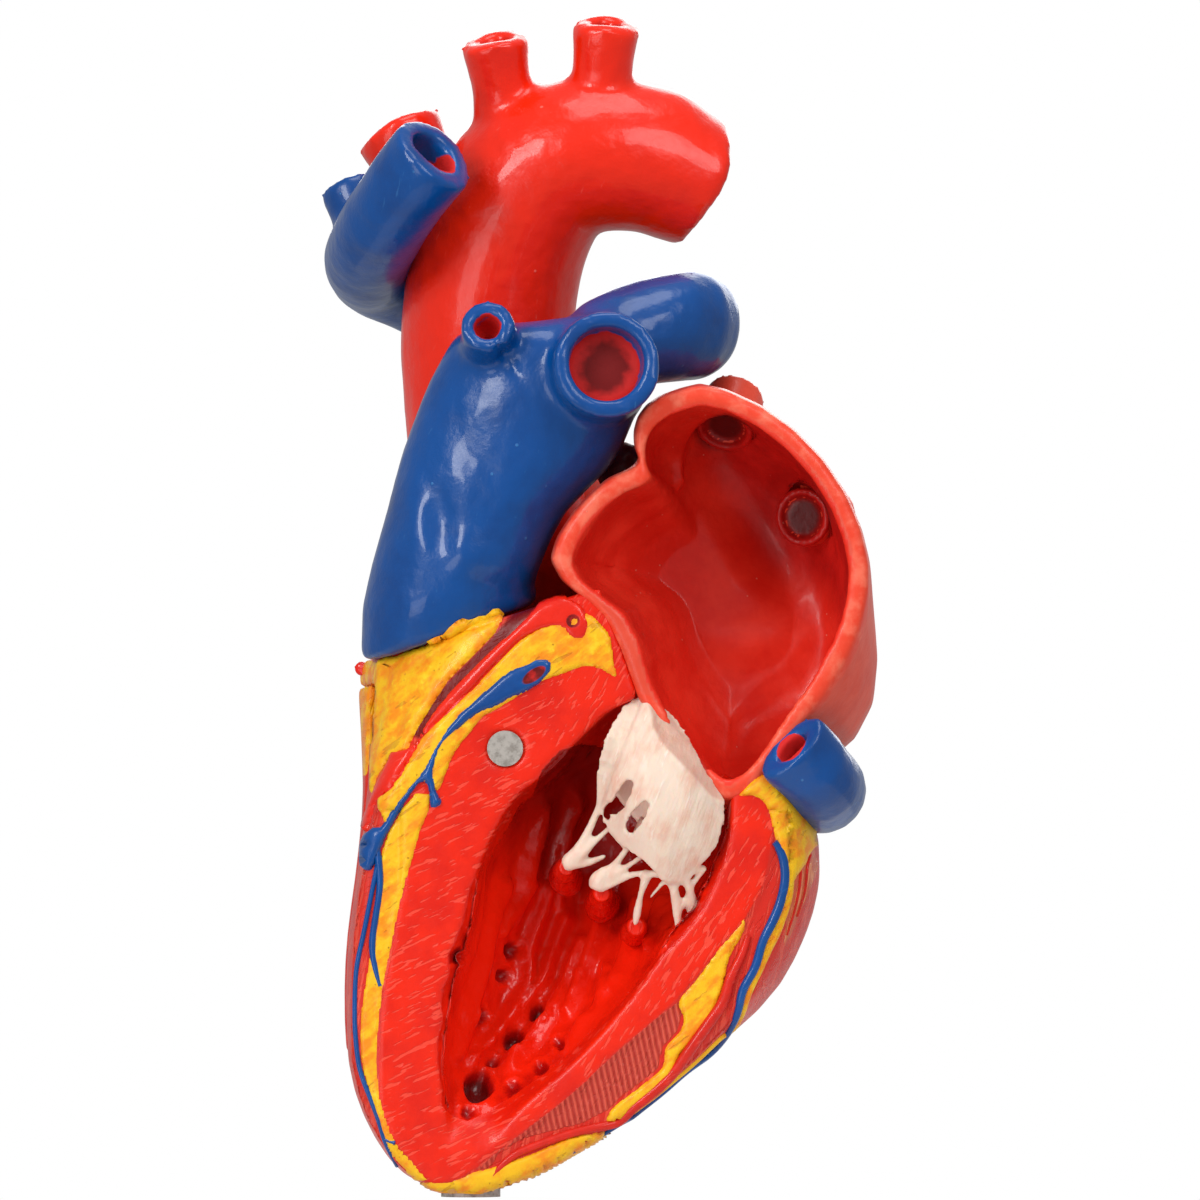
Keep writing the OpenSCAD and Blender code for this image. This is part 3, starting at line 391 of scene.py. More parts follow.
# pixel x, pixel y, half width in pixels, and depth in steps of half a millimetre
PITS = [(478, 1082, 13, 9), (514, 1039, 11, 7), (538, 1011, 9, 7), (514, 1086, 8, 5), (542, 1065, 7, 5),
        (477, 1013, 8, 6), (456, 950, 7, 4), (510, 947, 8, 5), (501, 972, 7, 5), (467, 1108, 6, 4),
        (492, 1060, 6, 4), (560, 1040, 6, 4)]
BANDS = {
    "ribbed": [
        [(682, 992), (682, 1010), (678, 1024), (662, 1042), (658, 1062), (644, 1074), (624, 1088),
         (608, 1104), (580, 1118), (524, 1132), (500, 1146), (490, 1162), (440, 1176), (473, 1165),
         (505, 1140), (560, 1098), (612, 1050), (663, 1007)],
    ],
    "tan": [
        [(784, 846), (800, 832), (815, 842), (820, 862), (812, 882), (803, 902), (794, 925), (784, 945),
         (786, 900), (792, 870)],
        [(352, 760), (368, 770), (360, 830), (352, 800)],
    ],
    "yellow": [[(345, 650), (377, 656), (375, 700), (371, 745), (366, 772), (345, 764)]],
}
# the line of the groove beside the descending artery, where a painted shadow lies
GROOVE = [(533, 595), (495, 638), (462, 671), (424, 711), (418, 725)]
RIDGE_HIGH, RIDGE_WIDE = 0.0034, 0.0023
NET_HIGH, GRAIN_HIGH, PIT_RIM = 0.0014, 0.0003, 0.0008
PIT_STEP = 0.0005
FALL_BACK, FALL_WIDE = 0.0011, 0.0012
SINK_MOST = 0.008
CHAMBER_BACK = 0.022
# the mark of a point far outside every outline, and the height under which the cut face's edge is drawn in
OUTSIDE = -0.05
EDGE_TOP = 0.105
ventricles = cast("ventricles", "heart", 0.0013, 10, "heart_body", "heart_apex")
points = points_of(ventricles)
flat = points[:, [0, 2]]
front = points[:, 1] < 0.03
chamber = np.full(len(points), OUTSIDE)
chamber[front] = region(flat[front], CHAMBER, True)
on_face = (np.abs(points[:, 1] - FACE) < 0.0022) & front
face = np.full(len(points), OUTSIDE)
face[front] = region(flat[front], CUT_FACE)
# around the cut face the surface falls back a little, and within the chamber's outline it sinks
points[on_face, 1] += FALL_BACK * np.clip(-face[on_face] / FALL_WIDE, 0, 1) * (flat[on_face, 1] < EDGE_TOP)
deepen = on_face & (chamber > 0)
points[deepen, 1] += np.minimum(chamber[deepen] * 1.6, SINK_MOST)
inner = (chamber > -0.001) & (points[:, 1] > FACE + 0.002) & (points[:, 1] < CHAMBER_BACK) & front
rise = np.zeros(len(points))
for k, ridge in enumerate(RIDGES):
    gap, _ = nearest(flat[inner], rounded(spots(ridge)))
    gap = gap + 0.0006 * lumps(points[inner], 0.006, k)
    rise[inner] = np.maximum(rise[inner], RIDGE_HIGH * np.exp(-(gap / RIDGE_WIDE) ** 2))
netted = np.abs(lumps(points[inner] * (1.6, 1, 0.6), 0.010, 3)) ** 0.7
rise[inner] += NET_HIGH * (0.5 - netted) + GRAIN_HIGH * lumps(points[inner], 0.0035, 9)
for px, py, wide, deep in PITS:
    gap = np.hypot(*from_pixel(flat[inner], px, py).T)
    rise[inner] -= deep * PIT_STEP * np.exp(-(gap / (wide * PIXEL)) ** 4)
    rise[inner] += PIT_RIM * np.exp(-((gap / (wide * PIXEL) - 1.35) / 0.3) ** 2)
edge = np.clip(chamber / 0.003, 0, 1)
points += normals_of(ventricles) * (rise * edge)[:, None]
move_points(ventricles, points)
mark(ventricles, "chamber", chamber)
upper = on_face & (flat[:, 1] > EDGE_TOP)
mark(ventricles, "face", np.where(upper | (chamber > 0), np.maximum(face, 0.0002), face))
mark(ventricles, "rise", rise * 1000)
# distance from the groove line, which the paint darkens as a painted shadow
foremost = points[:, 1] < -0.02
groove = np.full(len(points), -OUTSIDE)
groove[foremost], _ = nearest(flat[foremost], spots(GROOVE))
mark(ventricles, "groove", groove)
for name, loops in BANDS.items():
    value = np.full(len(points), OUTSIDE)
    for loop in loops:
        value[front] = np.maximum(value[front], region(flat[front], loop, True))
    mark(ventricles, name, value)


def mark_casting(piece, **marks):
    """The marks that the casting's paint reads, far from every edge unless they are given"""
    for name in ("chamber", "face", "rise", "ribbed", "tan", "yellow"):
        mark(piece, name, marks.get(name, OUTSIDE))
    mark(piece, "groove", -OUTSIDE)


def muscle():
    """Red paint: hatched outside, ticked on the cut face, wet and dark in the chamber, with painted light
    and shade
    """
    s = Shade("muscle_paint")
    wobble = s.noise(0.0022, 3) - 0.5
    chamber = (s.attribute("chamber") + wobble * 0.0012).ramp(-0.0002, 0.0003)
    face = (s.attribute("face") + wobble * 0.0008).ramp(-0.0002, 0.0002)
    steep = s.noise(1, 1, 0.5, s.grain((0.0046, 0.01, 0.0009), (0, math.radians(-58), 0)))
    shallow = s.noise(1, 1, 0.5, s.grain((0.0046, 0.01, 0.0009), (0, math.radians(-25), 0)))
    side = s.node("ShaderNodeSeparateXYZ", s.place, out="X")
    tick = s.mix(shallow, steep, side.ramp(0.005, 0.04)).ramp(0.58, 0.65)
    red = s.mix((0.80, 0.016, 0.001), (0.66, 0.010, 0.002), s.noise(0.012, 4, 0.6).ramp(0.35, 0.7))
    cut = s.mix(red, (0.92, 0.10, 0.06), tick * 0.5)
    # painted light and shade: the chamber wall is lighter on its ridges and darker between them
    depth = (s.attribute("rise") + s.noise(0.004, 3) * 0.8).ramp(-0.8, 1.4)
    wall = s.mix((0.40, 0.003, 0.002), (0.84, 0.016, 0.003), depth)
    # painted shade: the pits are darkened to near black
    wall = s.mix(wall, (0.10, 0.002, 0.002), s.attribute("rise").ramp(-1.2, -3.2) * 0.85)
    # painted shade: the upper part of the chamber, under its lip, is darker
    top_shade_height = s.node("ShaderNodeSeparateXYZ", s.place, out="Z")
    wall = s.mix(wall, (0.16, 0.003, 0.003), top_shade_height.ramp(0.080, 0.118) * 0.8)
    hatch = s.noise(1, 2, 0.6, s.grain((0.0010, 0.006, 0.012), (0, math.radians(12), 0))).ramp(0.5, 0.6)
    outer = s.mix((0.62, 0.020, 0.010), (0.80, 0.085, 0.045), hatch * 0.6)
    ribs = s.node("ShaderNodeTexWave", out="Fac", bands_direction="X", named={
        "Vector": s.grain((1, 1, 1), (0, math.radians(-12), 0)), "Scale": 0.314 / 0.0016, "Distortion": 0.6})
    ribbed = (s.attribute("ribbed") + wobble * 0.0008).ramp(-0.0001, 0.0002)
    tan = (s.attribute("tan") + wobble * 0.0008).ramp(-0.0001, 0.0004)
    outer = s.mix(outer, s.mix((0.40, 0.020, 0.012), (0.66, 0.085, 0.050), ribs), ribbed)
    outer = s.mix(outer, s.mix((0.60, 0.10, 0.04), (0.80, 0.26, 0.10), hatch), tan)
    yellow = (s.attribute("yellow") + wobble * 0.0012).ramp(-0.0001, 0.0003)
    warm = s.mix((0.86, 0.25, 0.004), (0.88, 0.50, 0.010), s.noise(0.006, 4, 0.6).ramp(0.42, 0.62))
    outer = s.mix(outer, warm, yellow)
    skin = s.mix(outer, cut, face)
    skin = s.mix(skin, wall, chamber)
    # painted shadow: a dark line along the groove
    skin = s.mix(skin, (0.16, 0.003, 0.003), s.attribute("groove").ramp(0.0026, 0.0012))
    rough = 0.36 - 0.16 * chamber + (s.noise(0.005, 3) - 0.5) * 0.2
    dry = tick * -0.00012 + s.noise(0.0035, 4, 0.6) * 0.00022
    height = dry * (1 - chamber) + s.noise(0.004, 3) * 0.0005 * chamber
    return s.finish(skin, rough, height - hatch * 0.00012 * (1 - face) + ribs * ribbed * 0.0003, **SATIN)


muscle_paint = muscle()
paint(ventricles, muscle_paint)


# ---- Fat: hand-painted pads in yellow and orange, moulded on the casting
# Painted vinyl. Each is a lumpy sheet with a soft edge, glued down all round, or a thin roll along a line.
def tree_of(mesh):
    return BVHTree.FromPolygons([v.co[:] for v in mesh.vertices], [p.vertices[:] for p in mesh.polygons])


ground = tree_of(ventricles.data)
PATCH_STEP = 0.0007


def landed(flat_points, tree=ground):
    """Where x and z meet the tree from the front, and the way out there"""
    hits, ways = [], []
    for x, z in flat_points:
        hit, way, _, _ = tree.ray_cast(Vector((x, -0.15, z)), Vector((0, 1, 0)))
        if hit is None or hit.y > FACE + 0.022:
            hit, way, _, _ = tree.find_nearest(Vector((x, FACE + 0.006, z)))
        hits.append(hit)
        ways.append(way)
    return np.array(hits), np.array(ways)


def blurred(rows, rounds):
    """Rows softened along their length, with their ends kept"""
    for _ in range(rounds):
        rows = np.vstack([rows[:1], (rows[:-2] + rows[1:-1] * 2 + rows[2:]) / 4, rows[-1:]])
    return rows


def gridded(low, high):
    """A flat grid between two corners on the cut face, and where its points are"""
    n = np.maximum(((high - low) / PATCH_STEP).astype(int), 2)
    form = bmesh.new()
    bmesh.ops.create_grid(form, x_segments=n[0], y_segments=n[1], size=1)
    form.verts.index_update()
    return form, low + (np.array([v.co[:2] for v in form.verts]) + 1) / 2 * (high - low)


def keep_only(form, keep):
    bmesh.ops.delete(form, geom=[v for v, k in zip(form.verts, keep) if not k], context="VERTS")


def patch(pixels, rise, edge, relief, size=0.004, sharp=False, sink=0.0005, lift=0.0, tree=ground):
    """A puffed sheet inside an outline of pixels, laid on a tree, with its rim sunk in"""
    loop = spots(pixels) if sharp else rounded(spots(pixels), True)
    form, flat = gridded(loop.min(0) - PATCH_STEP, loop.max(0) + PATCH_STEP)
    depth = inset(flat, loop)
    gap, rim = nearest(flat, loop, True)
    snap = gap < 0.3 * PATCH_STEP
    for face in form.faces:
        corners = [v.index for v in face.verts]
        if (depth[corners] >= 0).any():
            snap[[k for k in corners if depth[k] < 0]] = True
    flat[snap], depth[snap] = rim[snap], 0
    keep = depth >= 0
    at = np.zeros((len(flat), 3))
    out = np.zeros((len(flat), 3))
    at[keep], out[keep] = landed(flat[keep], tree)
    f = np.clip(depth / edge, 0, 1)
    height = rise * np.sqrt(1 - (1 - f) ** 2) + lift
    height[keep] += relief * f[keep] * lumps(at[keep], size)
    height[snap] = -sink
    at += out * height[:, None]
    for v, p in zip(form.verts, at):
        v.co = p
    keep_only(form, keep)
    form.normal_update()
    if sum(f.normal.y for f in form.faces) > 0:
        bmesh.ops.reverse_faces(form, faces=form.faces)
    return meshed("patch", form)


def tube(points, radii):
    """A round tube along points, with closed ends"""
    curve = bpy.data.curves.new("tube", "CURVE")
    curve.dimensions, curve.bevel_depth, curve.bevel_resolution = "3D", 1, 3
    curve.use_fill_caps = True
    line = curve.splines.new("POLY")
    line.points.add(len(points) - 1)
    for knot, p, r in zip(line.points, points, radii):
        knot.co, knot.radius = (*p, 1), r
    holder = bpy.data.objects.new("tube", curve)
    mesh = bpy.data.meshes.new_from_object(holder)
    bpy.data.objects.remove(holder)
    return mesh


def laid(rows, lift=0.3):
    """A tube on the casting, along rows of pixel x, pixel y and width in pixels"""
    rows = np.array(rows, float)
    line = rounded(np.column_stack([spots(rows[:, :2]), rows[:, 2]]), step=0.001)
    at, out = landed(line[:, :2])
    at, out = blurred(at, 4), blurred(out, 6)
    radii = line[:, 2] * PIXEL / 2
    return tube(at + out * (lift * radii)[:, None], radii)


def pile(name, meshes, *nodes, body="heart"):
    """One piece of several meshes"""
    form = bmesh.new()
    for mesh in meshes:
        form.from_mesh(mesh)
    return new_piece(name, meshed(name, form), body, *nodes)


def fat_paint():
    s = Shade("fat_paint")
    streak = s.noise(1, 3, 0.6, s.grain((0.010, 0.01, 0.0025), (0, math.radians(-40), 0)))
    share = (s.noise(0.006, 4, 0.6) * 0.6 + streak * 0.5).ramp(0.42, 0.62)
    base = s.mix((0.86, 0.25, 0.004), (0.86, 0.48, 0.006), share)
    base = s.mix(base, (0.92, 0.62, 0.02), s.noise(0.003, 3).ramp(0.60, 0.75) * 0.7)
    pores = s.cells(0.0022).ramp(0.16, 0.05) * s.noise(0.006).ramp(0.5, 0.6)
    lines = s.noise(1, 2, 0.5, s.grain((0.008, 0.008, 0.0016), (0, math.radians(-35), 0))).ramp(0.66, 0.70)
    base = s.mix(base, (0.35, 0.09, 0.01), (pores * 0.6).high(lines * 0.35))
    height = s.noise(0.003, 4, 0.6) * 0.0005 - pores * 0.0002 - lines * 0.0001
    return s.finish(base, 0.34 + s.noise(0.004) * 0.2, height, **SATIN)


fat = fat_paint()
CONUS = [(376, 653), (388, 650), (398, 649), (410, 644), (424, 640), (440, 634), (452, 629), (462, 625),
         (479, 621), (495, 615), (503, 613), (495, 628), (481, 643), (448, 676), (431, 702), (418, 723),
         (408, 744), (389, 753), (377, 772), (370, 796), (369, 753), (374, 702)]
conus = pile("conus_fat_pad", [patch(CONUS, 0.0012, 0.002, 0.0006, 0.007, True)], "conus_fat")
# where the fat meets the descending artery, from its lower end up
BY_ARTERY = [(377, 796), (387, 786), (398, 772), (408, 756), (424, 730), (448, 706), (472, 683), (495, 659),
             (519, 635)]
SEPTAL = [(590, 608), (601, 617), (611, 631), (614, 654), (617, 672), (601, 664), (585, 661), (566, 667),
          (542, 676), (526, 686), (493, 706), (483, 711), (472, 725), (457, 744), (448, 763), (442, 779),
          (437, 786), (428, 779), (420, 775), (408, 791), (394, 812), (387, 822), *BY_ARTERY, (542, 620),
          (560, 615), (575, 606)]
SEAM = [(431, 788), (429, 806), (421, 824), (415, 846), (407, 874), (400, 902), (394, 930), (389, 954),
        (384, 978), (381, 1002), (378, 1030), (377, 1056), (380, 1090), (388, 1118), (398, 1140),
        (414, 1158), (430, 1176), (416, 1176), (398, 1160), (382, 1134), (370, 1096), (361, 1058),
        (359, 1030), (361, 1002), (365, 975), (371, 940), (373, 915), (376, 880), (380, 850), (388, 826),
        (402, 802), (416, 786)]
septal = pile("septal_fat_pad", [patch(SEPTAL, 0.0009, 0.0016, 0.0004, 0.006),
                                 patch(SEAM, 0.0006, 0.0012, 0.0003, 0.004, True)], "septal_fat")
CAP = [(738, 790), (756, 771), (772, 764), (786, 769), (797, 781), (811, 803), (822, 824), (822, 836),
       (811, 846), (805, 858), (795, 873), (786, 897), (780, 917), (770, 938), (760, 962), (757, 958),
       (768, 925), (776, 900), (781, 880), (779, 850), (776, 836), (772, 820), (768, 805), (762, 795),
       (752, 790)]
BAND = [(741, 930), (725, 935), (698, 971), (679, 995), (683, 1013), (679, 1026), (665, 1042), (662, 1061),
        (649, 1073), (634, 1085), (612, 1102), (606, 1116), (622, 1112), (637, 1099), (663, 1078),
        (672, 1068), (680, 1049), (694, 1033), (710, 1013), (718, 995), (724, 978), (730, 951), (739, 932)]
WEDGE = [(745, 912), (744, 926), (733, 946), (723, 962), (706, 966), (718, 944), (733, 926)]
BESIDE = [(790, 858, 12), (789, 888, 12), (780, 917, 12), (769, 940, 11), (760, 962, 11), (748, 986, 11),
          (742, 1008, 10), (730, 1031, 10), (712, 1052, 9), (691, 1067, 9), (667, 1088, 8), (641, 1110, 7),
          (620, 1127, 6)]
in_groove = [patch(CAP, 0.0014, 0.002, 0.0005, 0.007), patch(BAND, 0.0010, 0.0014, 0.0004),
             patch(WEDGE, 0.0008, 0.0012, 0.0003), laid(BESIDE, -0.3)]
groove_pad = pile("groove_fat_pad", in_groove, "groove_fat")
APEX = [(428, 1176), (444, 1176), (461, 1172), (473, 1166), (493, 1161), (530, 1148), (565, 1133),
        (590, 1127), (609, 1125), (609, 1132), (575, 1150), (545, 1169), (514, 1186), (490, 1192),
        (462, 1193), (440, 1189), (418, 1178)]
APEX_EDGE = [(424, 1181, 7), (440, 1187, 9), (456, 1190, 10), (474, 1191, 10), (492, 1190, 9),
             (510, 1185, 7)]
at_apex = [patch(APEX, 0.0010, 0.0016, 0.0004, 0.005), laid(APEX_EDGE, -0.2)]
apex_pad = pile("apex_fat_pad", at_apex, "apex_fat")
for piece in (conus, septal, groove_pad, apex_pad):
    paint(piece, fat)


# ---- Arteries on the casting: glossy red bands and cords
# Vinyl, moulded on the casting and painted. The descending artery is a flat band with a cut mouth, and the
# others are round cords.
GLOSS = {"Specular_IOR_Level": 0.26, "Coat_Weight": 0.30, "Coat_Roughness": 0.07}
ARTERY_BAND = [(551, 582), (531, 607), (495, 641), (462, 673), (434, 706), (413, 739), (392, 746),
               (389, 753), (377, 777), (365, 808), (359, 824), (368, 824), *BY_ARTERY, (542, 624),
               (560, 622), (568, 631), (577, 635), (585, 633), (590, 621), (588, 610), (580, 598),
               (566, 591)]
# a mouth's pixel x, pixel y, two half widths in pixels and turn in degrees
ARTERY_MOUTH = (573, 615, 7, 7, 0)
band = patch(ARTERY_BAND, 0.0013, 0.0018, 0.0001)
descending = pile("descending_artery", [band], "anterior_descending_artery")
MARGINAL = [(748, 930, 7), (741, 951, 9), (730, 973, 11), (724, 995, 12), (711, 1014, 12), (698, 1032, 12),
            (686, 1049, 12), (674, 1066, 11), (656, 1083, 11), (632, 1102, 10), (617, 1116, 10),
            (588, 1123, 9), (560, 1131, 9), (514, 1149, 8), (493, 1170, 6)]
ARTERY_LOOP = [(797, 911, 3), (805, 885, 4), (808, 855, 4), (815, 845, 5), (822, 852, 5), (820, 866, 4),
               (815, 895, 4), (803, 935, 3)]
marginal = pile("marginal_artery_cord", [laid(MARGINAL), laid(ARTERY_LOOP, 0.1)], "marginal_artery")


def vessel_paint(name, base, dark, fleck):
    """Glossy paint with a mouth mark for cut ends"""
    s = Shade(name)
    tone = s.mix(base, dark, s.noise(0.010, 4, 0.6).ramp(0.35, 0.75) * 0.55)
    streak = s.noise(1, 2, 0.5, s.grain((0.006, 0.006, 0.0012), (0, math.radians(-30), 0)))
    tone = s.mix(tone, fleck, streak.ramp(0.66, 0.72) * 0.35)
    mouth = s.attribute("mouth").ramp(-0.0001, 0.0002)
    inside = s.mix((0.14, 0.004, 0.004), (0.46, 0.012, 0.010), s.noise(0.003, 4).ramp(0.45, 0.65))
    tone = s.mix(tone, inside, mouth)
    rough = 0.26 + s.noise(0.006, 3) * 0.16 + mouth * 0.4
    return s.finish(tone, rough, s.noise(0.004, 3) * 0.00035,
                    **{**GLOSS, "Coat_Weight": GLOSS["Coat_Weight"] * (1 - mouth)})


small_red = vessel_paint("small_artery_paint", (0.78, 0.014, 0.001), (0.58, 0.008, 0.002),
                         (0.90, 0.12, 0.08))
small_blue = vessel_paint("small_vein_paint", (0.0, 0.066, 0.28), (0.0, 0.036, 0.18), (0.02, 0.16, 0.46))


def turned(flat, px, py, turn):
    """How far points lie from a pixel, in pixels, along two axes turned by so many degrees"""
    away = from_pixel(flat, px, py) / PIXEL
    c, s = math.cos(math.radians(turn)), math.sin(math.radians(turn))
    return away[:, 0] * c + away[:, 1] * s, away[:, 1] * c - away[:, 0] * s


def mouths(piece, *rings):
    """Marks what lies within cut mouths, and draws it in a little"""
    flat = points_of(piece)[:, [0, 2]]
    value = np.full(len(flat), OUTSIDE)
    for px, py, wide, high, turn in rings:
        u, v = turned(flat, px, py, turn)
        value = np.maximum(value, (1 - np.hypot(u / wide, v / high)) * min(wide, high) * PIXEL)
    mark(piece, "mouth", value)
    points = points_of(piece)
    points -= normals_of(piece) * (np.clip(value / 0.0008, 0, 1) * 0.0005)[:, None]
    move_points(piece, points)


mouths(descending, ARTERY_MOUTH)
paint(descending, small_red)
paint(marginal, small_red)


# ---- Veins on the casting: glossy blue
# Vinyl, moulded on the casting and painted. The great cardiac vein is a broad band with a slanting mouth,
# and thins to cords along the edge.
VEIN = [(545, 652), (552, 655), (551, 666), (542, 676), (526, 686), (509, 694), (493, 703), (483, 706),
        (472, 713), (457, 725), (443, 739), (436, 756), (435, 770), (437, 786), (442, 794), (440, 800),
        (431, 802), (429, 794), (427, 779), (420, 777), (408, 793), (396, 813), (387, 830), (378, 850),
        (372, 864), (362, 862), (362, 836), (372, 822), (381, 820), (391, 803), (408, 782), (423, 763),
        (434, 742), (446, 723), (460, 706), (476, 692), (493, 677), (509, 664), (528, 656), (537, 652)]
THIN = [(375, 836, 7), (379, 850, 6), (373, 880, 5), (365, 921, 5), (357, 962, 5), (355, 1002, 5),
        (356, 1033, 5), (360, 1064, 5), (371, 1094, 5), (379, 1115, 5), (385, 1135, 5), (397, 1160, 4)]
THICK = [(378, 850, 8), (380, 880, 7), (374, 921, 7), (372, 941, 7), (375, 962, 6), (380, 980, 5)]
TWIGS = [[(384, 1133, 4), (395, 1137, 4)], [(362, 658, 5), (369, 659, 6), (376, 656, 5)]]
VEIN_MOUTH = (534, 669, 14, 6, 35)
cords = [laid(row) for row in (THIN, THICK, *TWIGS)]
great_vein = pile("great_vein", [patch(VEIN, 0.0018, 0.0022, 0.0001), *cords], "great_cardiac_vein")
SIDE_VEIN = [(774, 836, 7), (781, 846, 9), (784, 869, 10), (781, 891, 10), (772, 915, 10), (762, 936, 9),
             (755, 961, 9), (742, 985, 9), (737, 1007, 8), (725, 1030, 8), (708, 1049, 8), (687, 1064, 7),
             (663, 1085, 7), (637, 1107, 6), (617, 1125, 6), (601, 1137, 5), (577, 1143, 5), (560, 1152, 4)]
SIDE_MOUTH = (772, 844, 3, 6, 0)
side_vein = pile("side_vein", [laid(SIDE_VEIN)], "marginal_vein")
mouths(great_vein, VEIN_MOUTH)
mouths(side_vein, SIDE_MOUTH)
paint(great_vein, small_blue)
paint(side_vein, small_blue)


# ---- Great vessels: aorta and caval veins, glossy casts with blind dark mouths
# Painted vinyl. The aorta and the upper vein lift off together. Each copies its node's form, and its ends
# are drawn to their places in the photograph.

# A bore is its centre, a point further in, its radius and its depth, in mm. A pull is pixel x, pixel y, its
# reach, and how far it goes across and down, in pixels.
AORTA_BORES = [((62, 27, 273.1), (56, 26, 275.3), 13, 10), ((6.4, 19, 310.9), (11, 27, 284.3), 3.5, 10),
               ((36.6, 15, 314.9), (34, 23, 288.3), 3.5, 10),
               ((-19.8, 39, 287.6), (-4, 37, 258.3), 5.25, 10)]
AORTA_PULLS = [(724, 168, 46, (15, 0)), (676, 100, 46, (4, -9)), (498, 44, 30, (0, -10)),
               (606, 26, 30, (0, -10)), (398, 126, 34, (-4, -12))]
# how much wider each branch gets, and over how many mm
BRANCH_FLARES = [(0.20, 14), (0.15, 14), (0.15, 12)]
UPPER_BORES = [((-9.5, -10, 280), (-18, -2, 270), 6.5, 10), ((-33.5, 35, 273), (-29, 31, 262), 4, 10)]
UPPER_PULL = (430, 144, 42, (0, -9))
LOWER_BORE = ((83, 73, 97), (80, 70, 127), 8, 10)


def off_axis(points, centre, inner):
    """How far points lie inwards along a bore, and their way out from its axis"""
    centre, inner = np.array(centre) / 1000, np.array(inner) / 1000
    way = (inner - centre) / np.linalg.norm(inner - centre)
    along = (points - centre) @ way
    return along, points - centre - along[:, None] * way


def bore(piece, *ends):
    """Marks what lies in blind bores"""
    points = points_of(piece)
    value = np.full(len(points), OUTSIDE)
    for centre, inner, radius, deep in ends:
        along, away = off_axis(points, centre, inner)
        off = np.linalg.norm(away, axis=1)
        here = (along > -0.002) & (along < deep / 1000 + 0.003)
        value[here] = np.maximum(value[here], radius / 1000 - off[here])
    mark(piece, "mouth", value)


def waves(piece, size, high, seed=0.0):
    """Low waves, as in a hand-made mould"""
    points = points_of(piece)
    move_points(piece, points + normals_of(piece) * (high * lumps(points, size, seed))[:, None])


def push(piece, px, py, reach, way):
    """Moves what lies near a pixel by so many pixels across and down, fading over a reach in pixels"""
    points = points_of(piece)
    away = np.hypot(*from_pixel(points[:, [0, 2]], px, py).T) / PIXEL
    points[:, [0, 2]] += np.exp(-(away / reach) ** 2)[:, None] * np.array(way) * (PIXEL, -PIXEL)
    move_points(piece, points)


def flare(piece, more, reach, centre, inner):
    """Widens a vessel by a share towards its end, over a length in mm"""
    points = points_of(piece)
    along, away = off_axis(points, centre, inner)
    near = (along > -0.004) & (np.linalg.norm(away, axis=1) < 0.014)
    share = more * near * np.clip(1 - along * 1000 / reach, 0, 1.1) ** 1.5
    move_points(piece, points + away * share[:, None])


def cast_paint(name, base, dark, fleck, ring):
    """Glossy paint, clouded, with scuffs, specks, a ring round each mouth and a dark red inside with painted
    shade
    """
    s = Shade(name)
    cloud = s.noise(0.016, 4, 0.55)
    tone = s.mix(base, dark, cloud.ramp(0.42, 0.78) * 0.6)
    scuff = s.noise(1, 3, 0.6, s.grain((0.0015, 0.0015, 0.012), (0.3, 0.2, 0))).ramp(0.68, 0.76)
    specks = s.cells(0.006).ramp(0.09, 0.05) * s.noise(0.02).ramp(0.5, 0.56)
    tone = s.mix(tone, fleck, (scuff * 0.25).high(specks * 0.5))
    value = s.attribute("mouth")
    wobble = (s.noise(0.003, 2) - 0.5) * 0.0012
    mouth = (value + wobble).ramp(-0.0001, 0.0002)
    # painted shade: the dark red inside a bore grows darker towards its middle
    bore_shade = (value + (s.noise(0.004, 4) - 0.5) * 0.006).ramp(0.0012, 0.0045)
    inside = s.mix((0.62, 0.016, 0.014), (0.20, 0.005, 0.005), bore_shade)
    tone = s.mix(tone, ring, (value + wobble).ramp(-0.0012, -0.0006) * (1 - mouth) * 0.5)
    tone = s.mix(tone, inside, mouth)
    height = s.noise(0.0045, 4, 0.55) * 0.00035 + s.noise(0.018, 2) * 0.0012 + specks * 0.00008
    rough = 0.24 + cloud * 0.14 + scuff * 0.08 + mouth * 0.4
    return s.finish(tone, rough, height, **{**GLOSS, "Coat_Weight": GLOSS["Coat_Weight"] * (1 - mouth)})


aorta_red = cast_paint("aorta_paint", (0.80, 0.016, 0.001), (0.66, 0.010, 0.002), (0.92, 0.20, 0.15),
                       (0.45, 0.006, 0.005))
cast_blue = cast_paint("vein_paint", (0.0, 0.060, 0.26), (0.0, 0.032, 0.16), (0.05, 0.22, 0.50),
                       (0.0, 0.09, 0.36))
aorta = cast("aorta_cast", "great_vessels", 0.0013, 14, "aorta")
waves(aorta, 0.020, 0.0006)
for pull in AORTA_PULLS:
    push(aorta, *pull)
for (more, reach), (centre, inner, _, _) in zip(BRANCH_FLARES, AORTA_BORES[1:]):
    flare(aorta, more, reach, centre, inner)
bore(aorta, *AORTA_BORES)
paint(aorta, aorta_red)
upper_cava = cast("upper_cava_cast", "great_vessels", 0.0011, 12, "superior_vena_cava")
waves(upper_cava, 0.014, 0.0004, 5)
push(upper_cava, *UPPER_PULL)
bore(upper_cava, *UPPER_BORES)
paint(upper_cava, cast_blue)
lower_cava = cast("lower_cava_cast", "heart", 0.0011, 10, "inferior_vena_cava")
waves(lower_cava, 0.012, 0.0004, 8)
bore(lower_cava, LOWER_BORE)
paint(lower_cava, cast_blue)


# ---- Pulmonary trunk: a broad glossy blue cast with three stumps, dented in front
# Painted vinyl, lifted off its seat by hand. Its foot carries a thin ragged edge of fat over the seam.

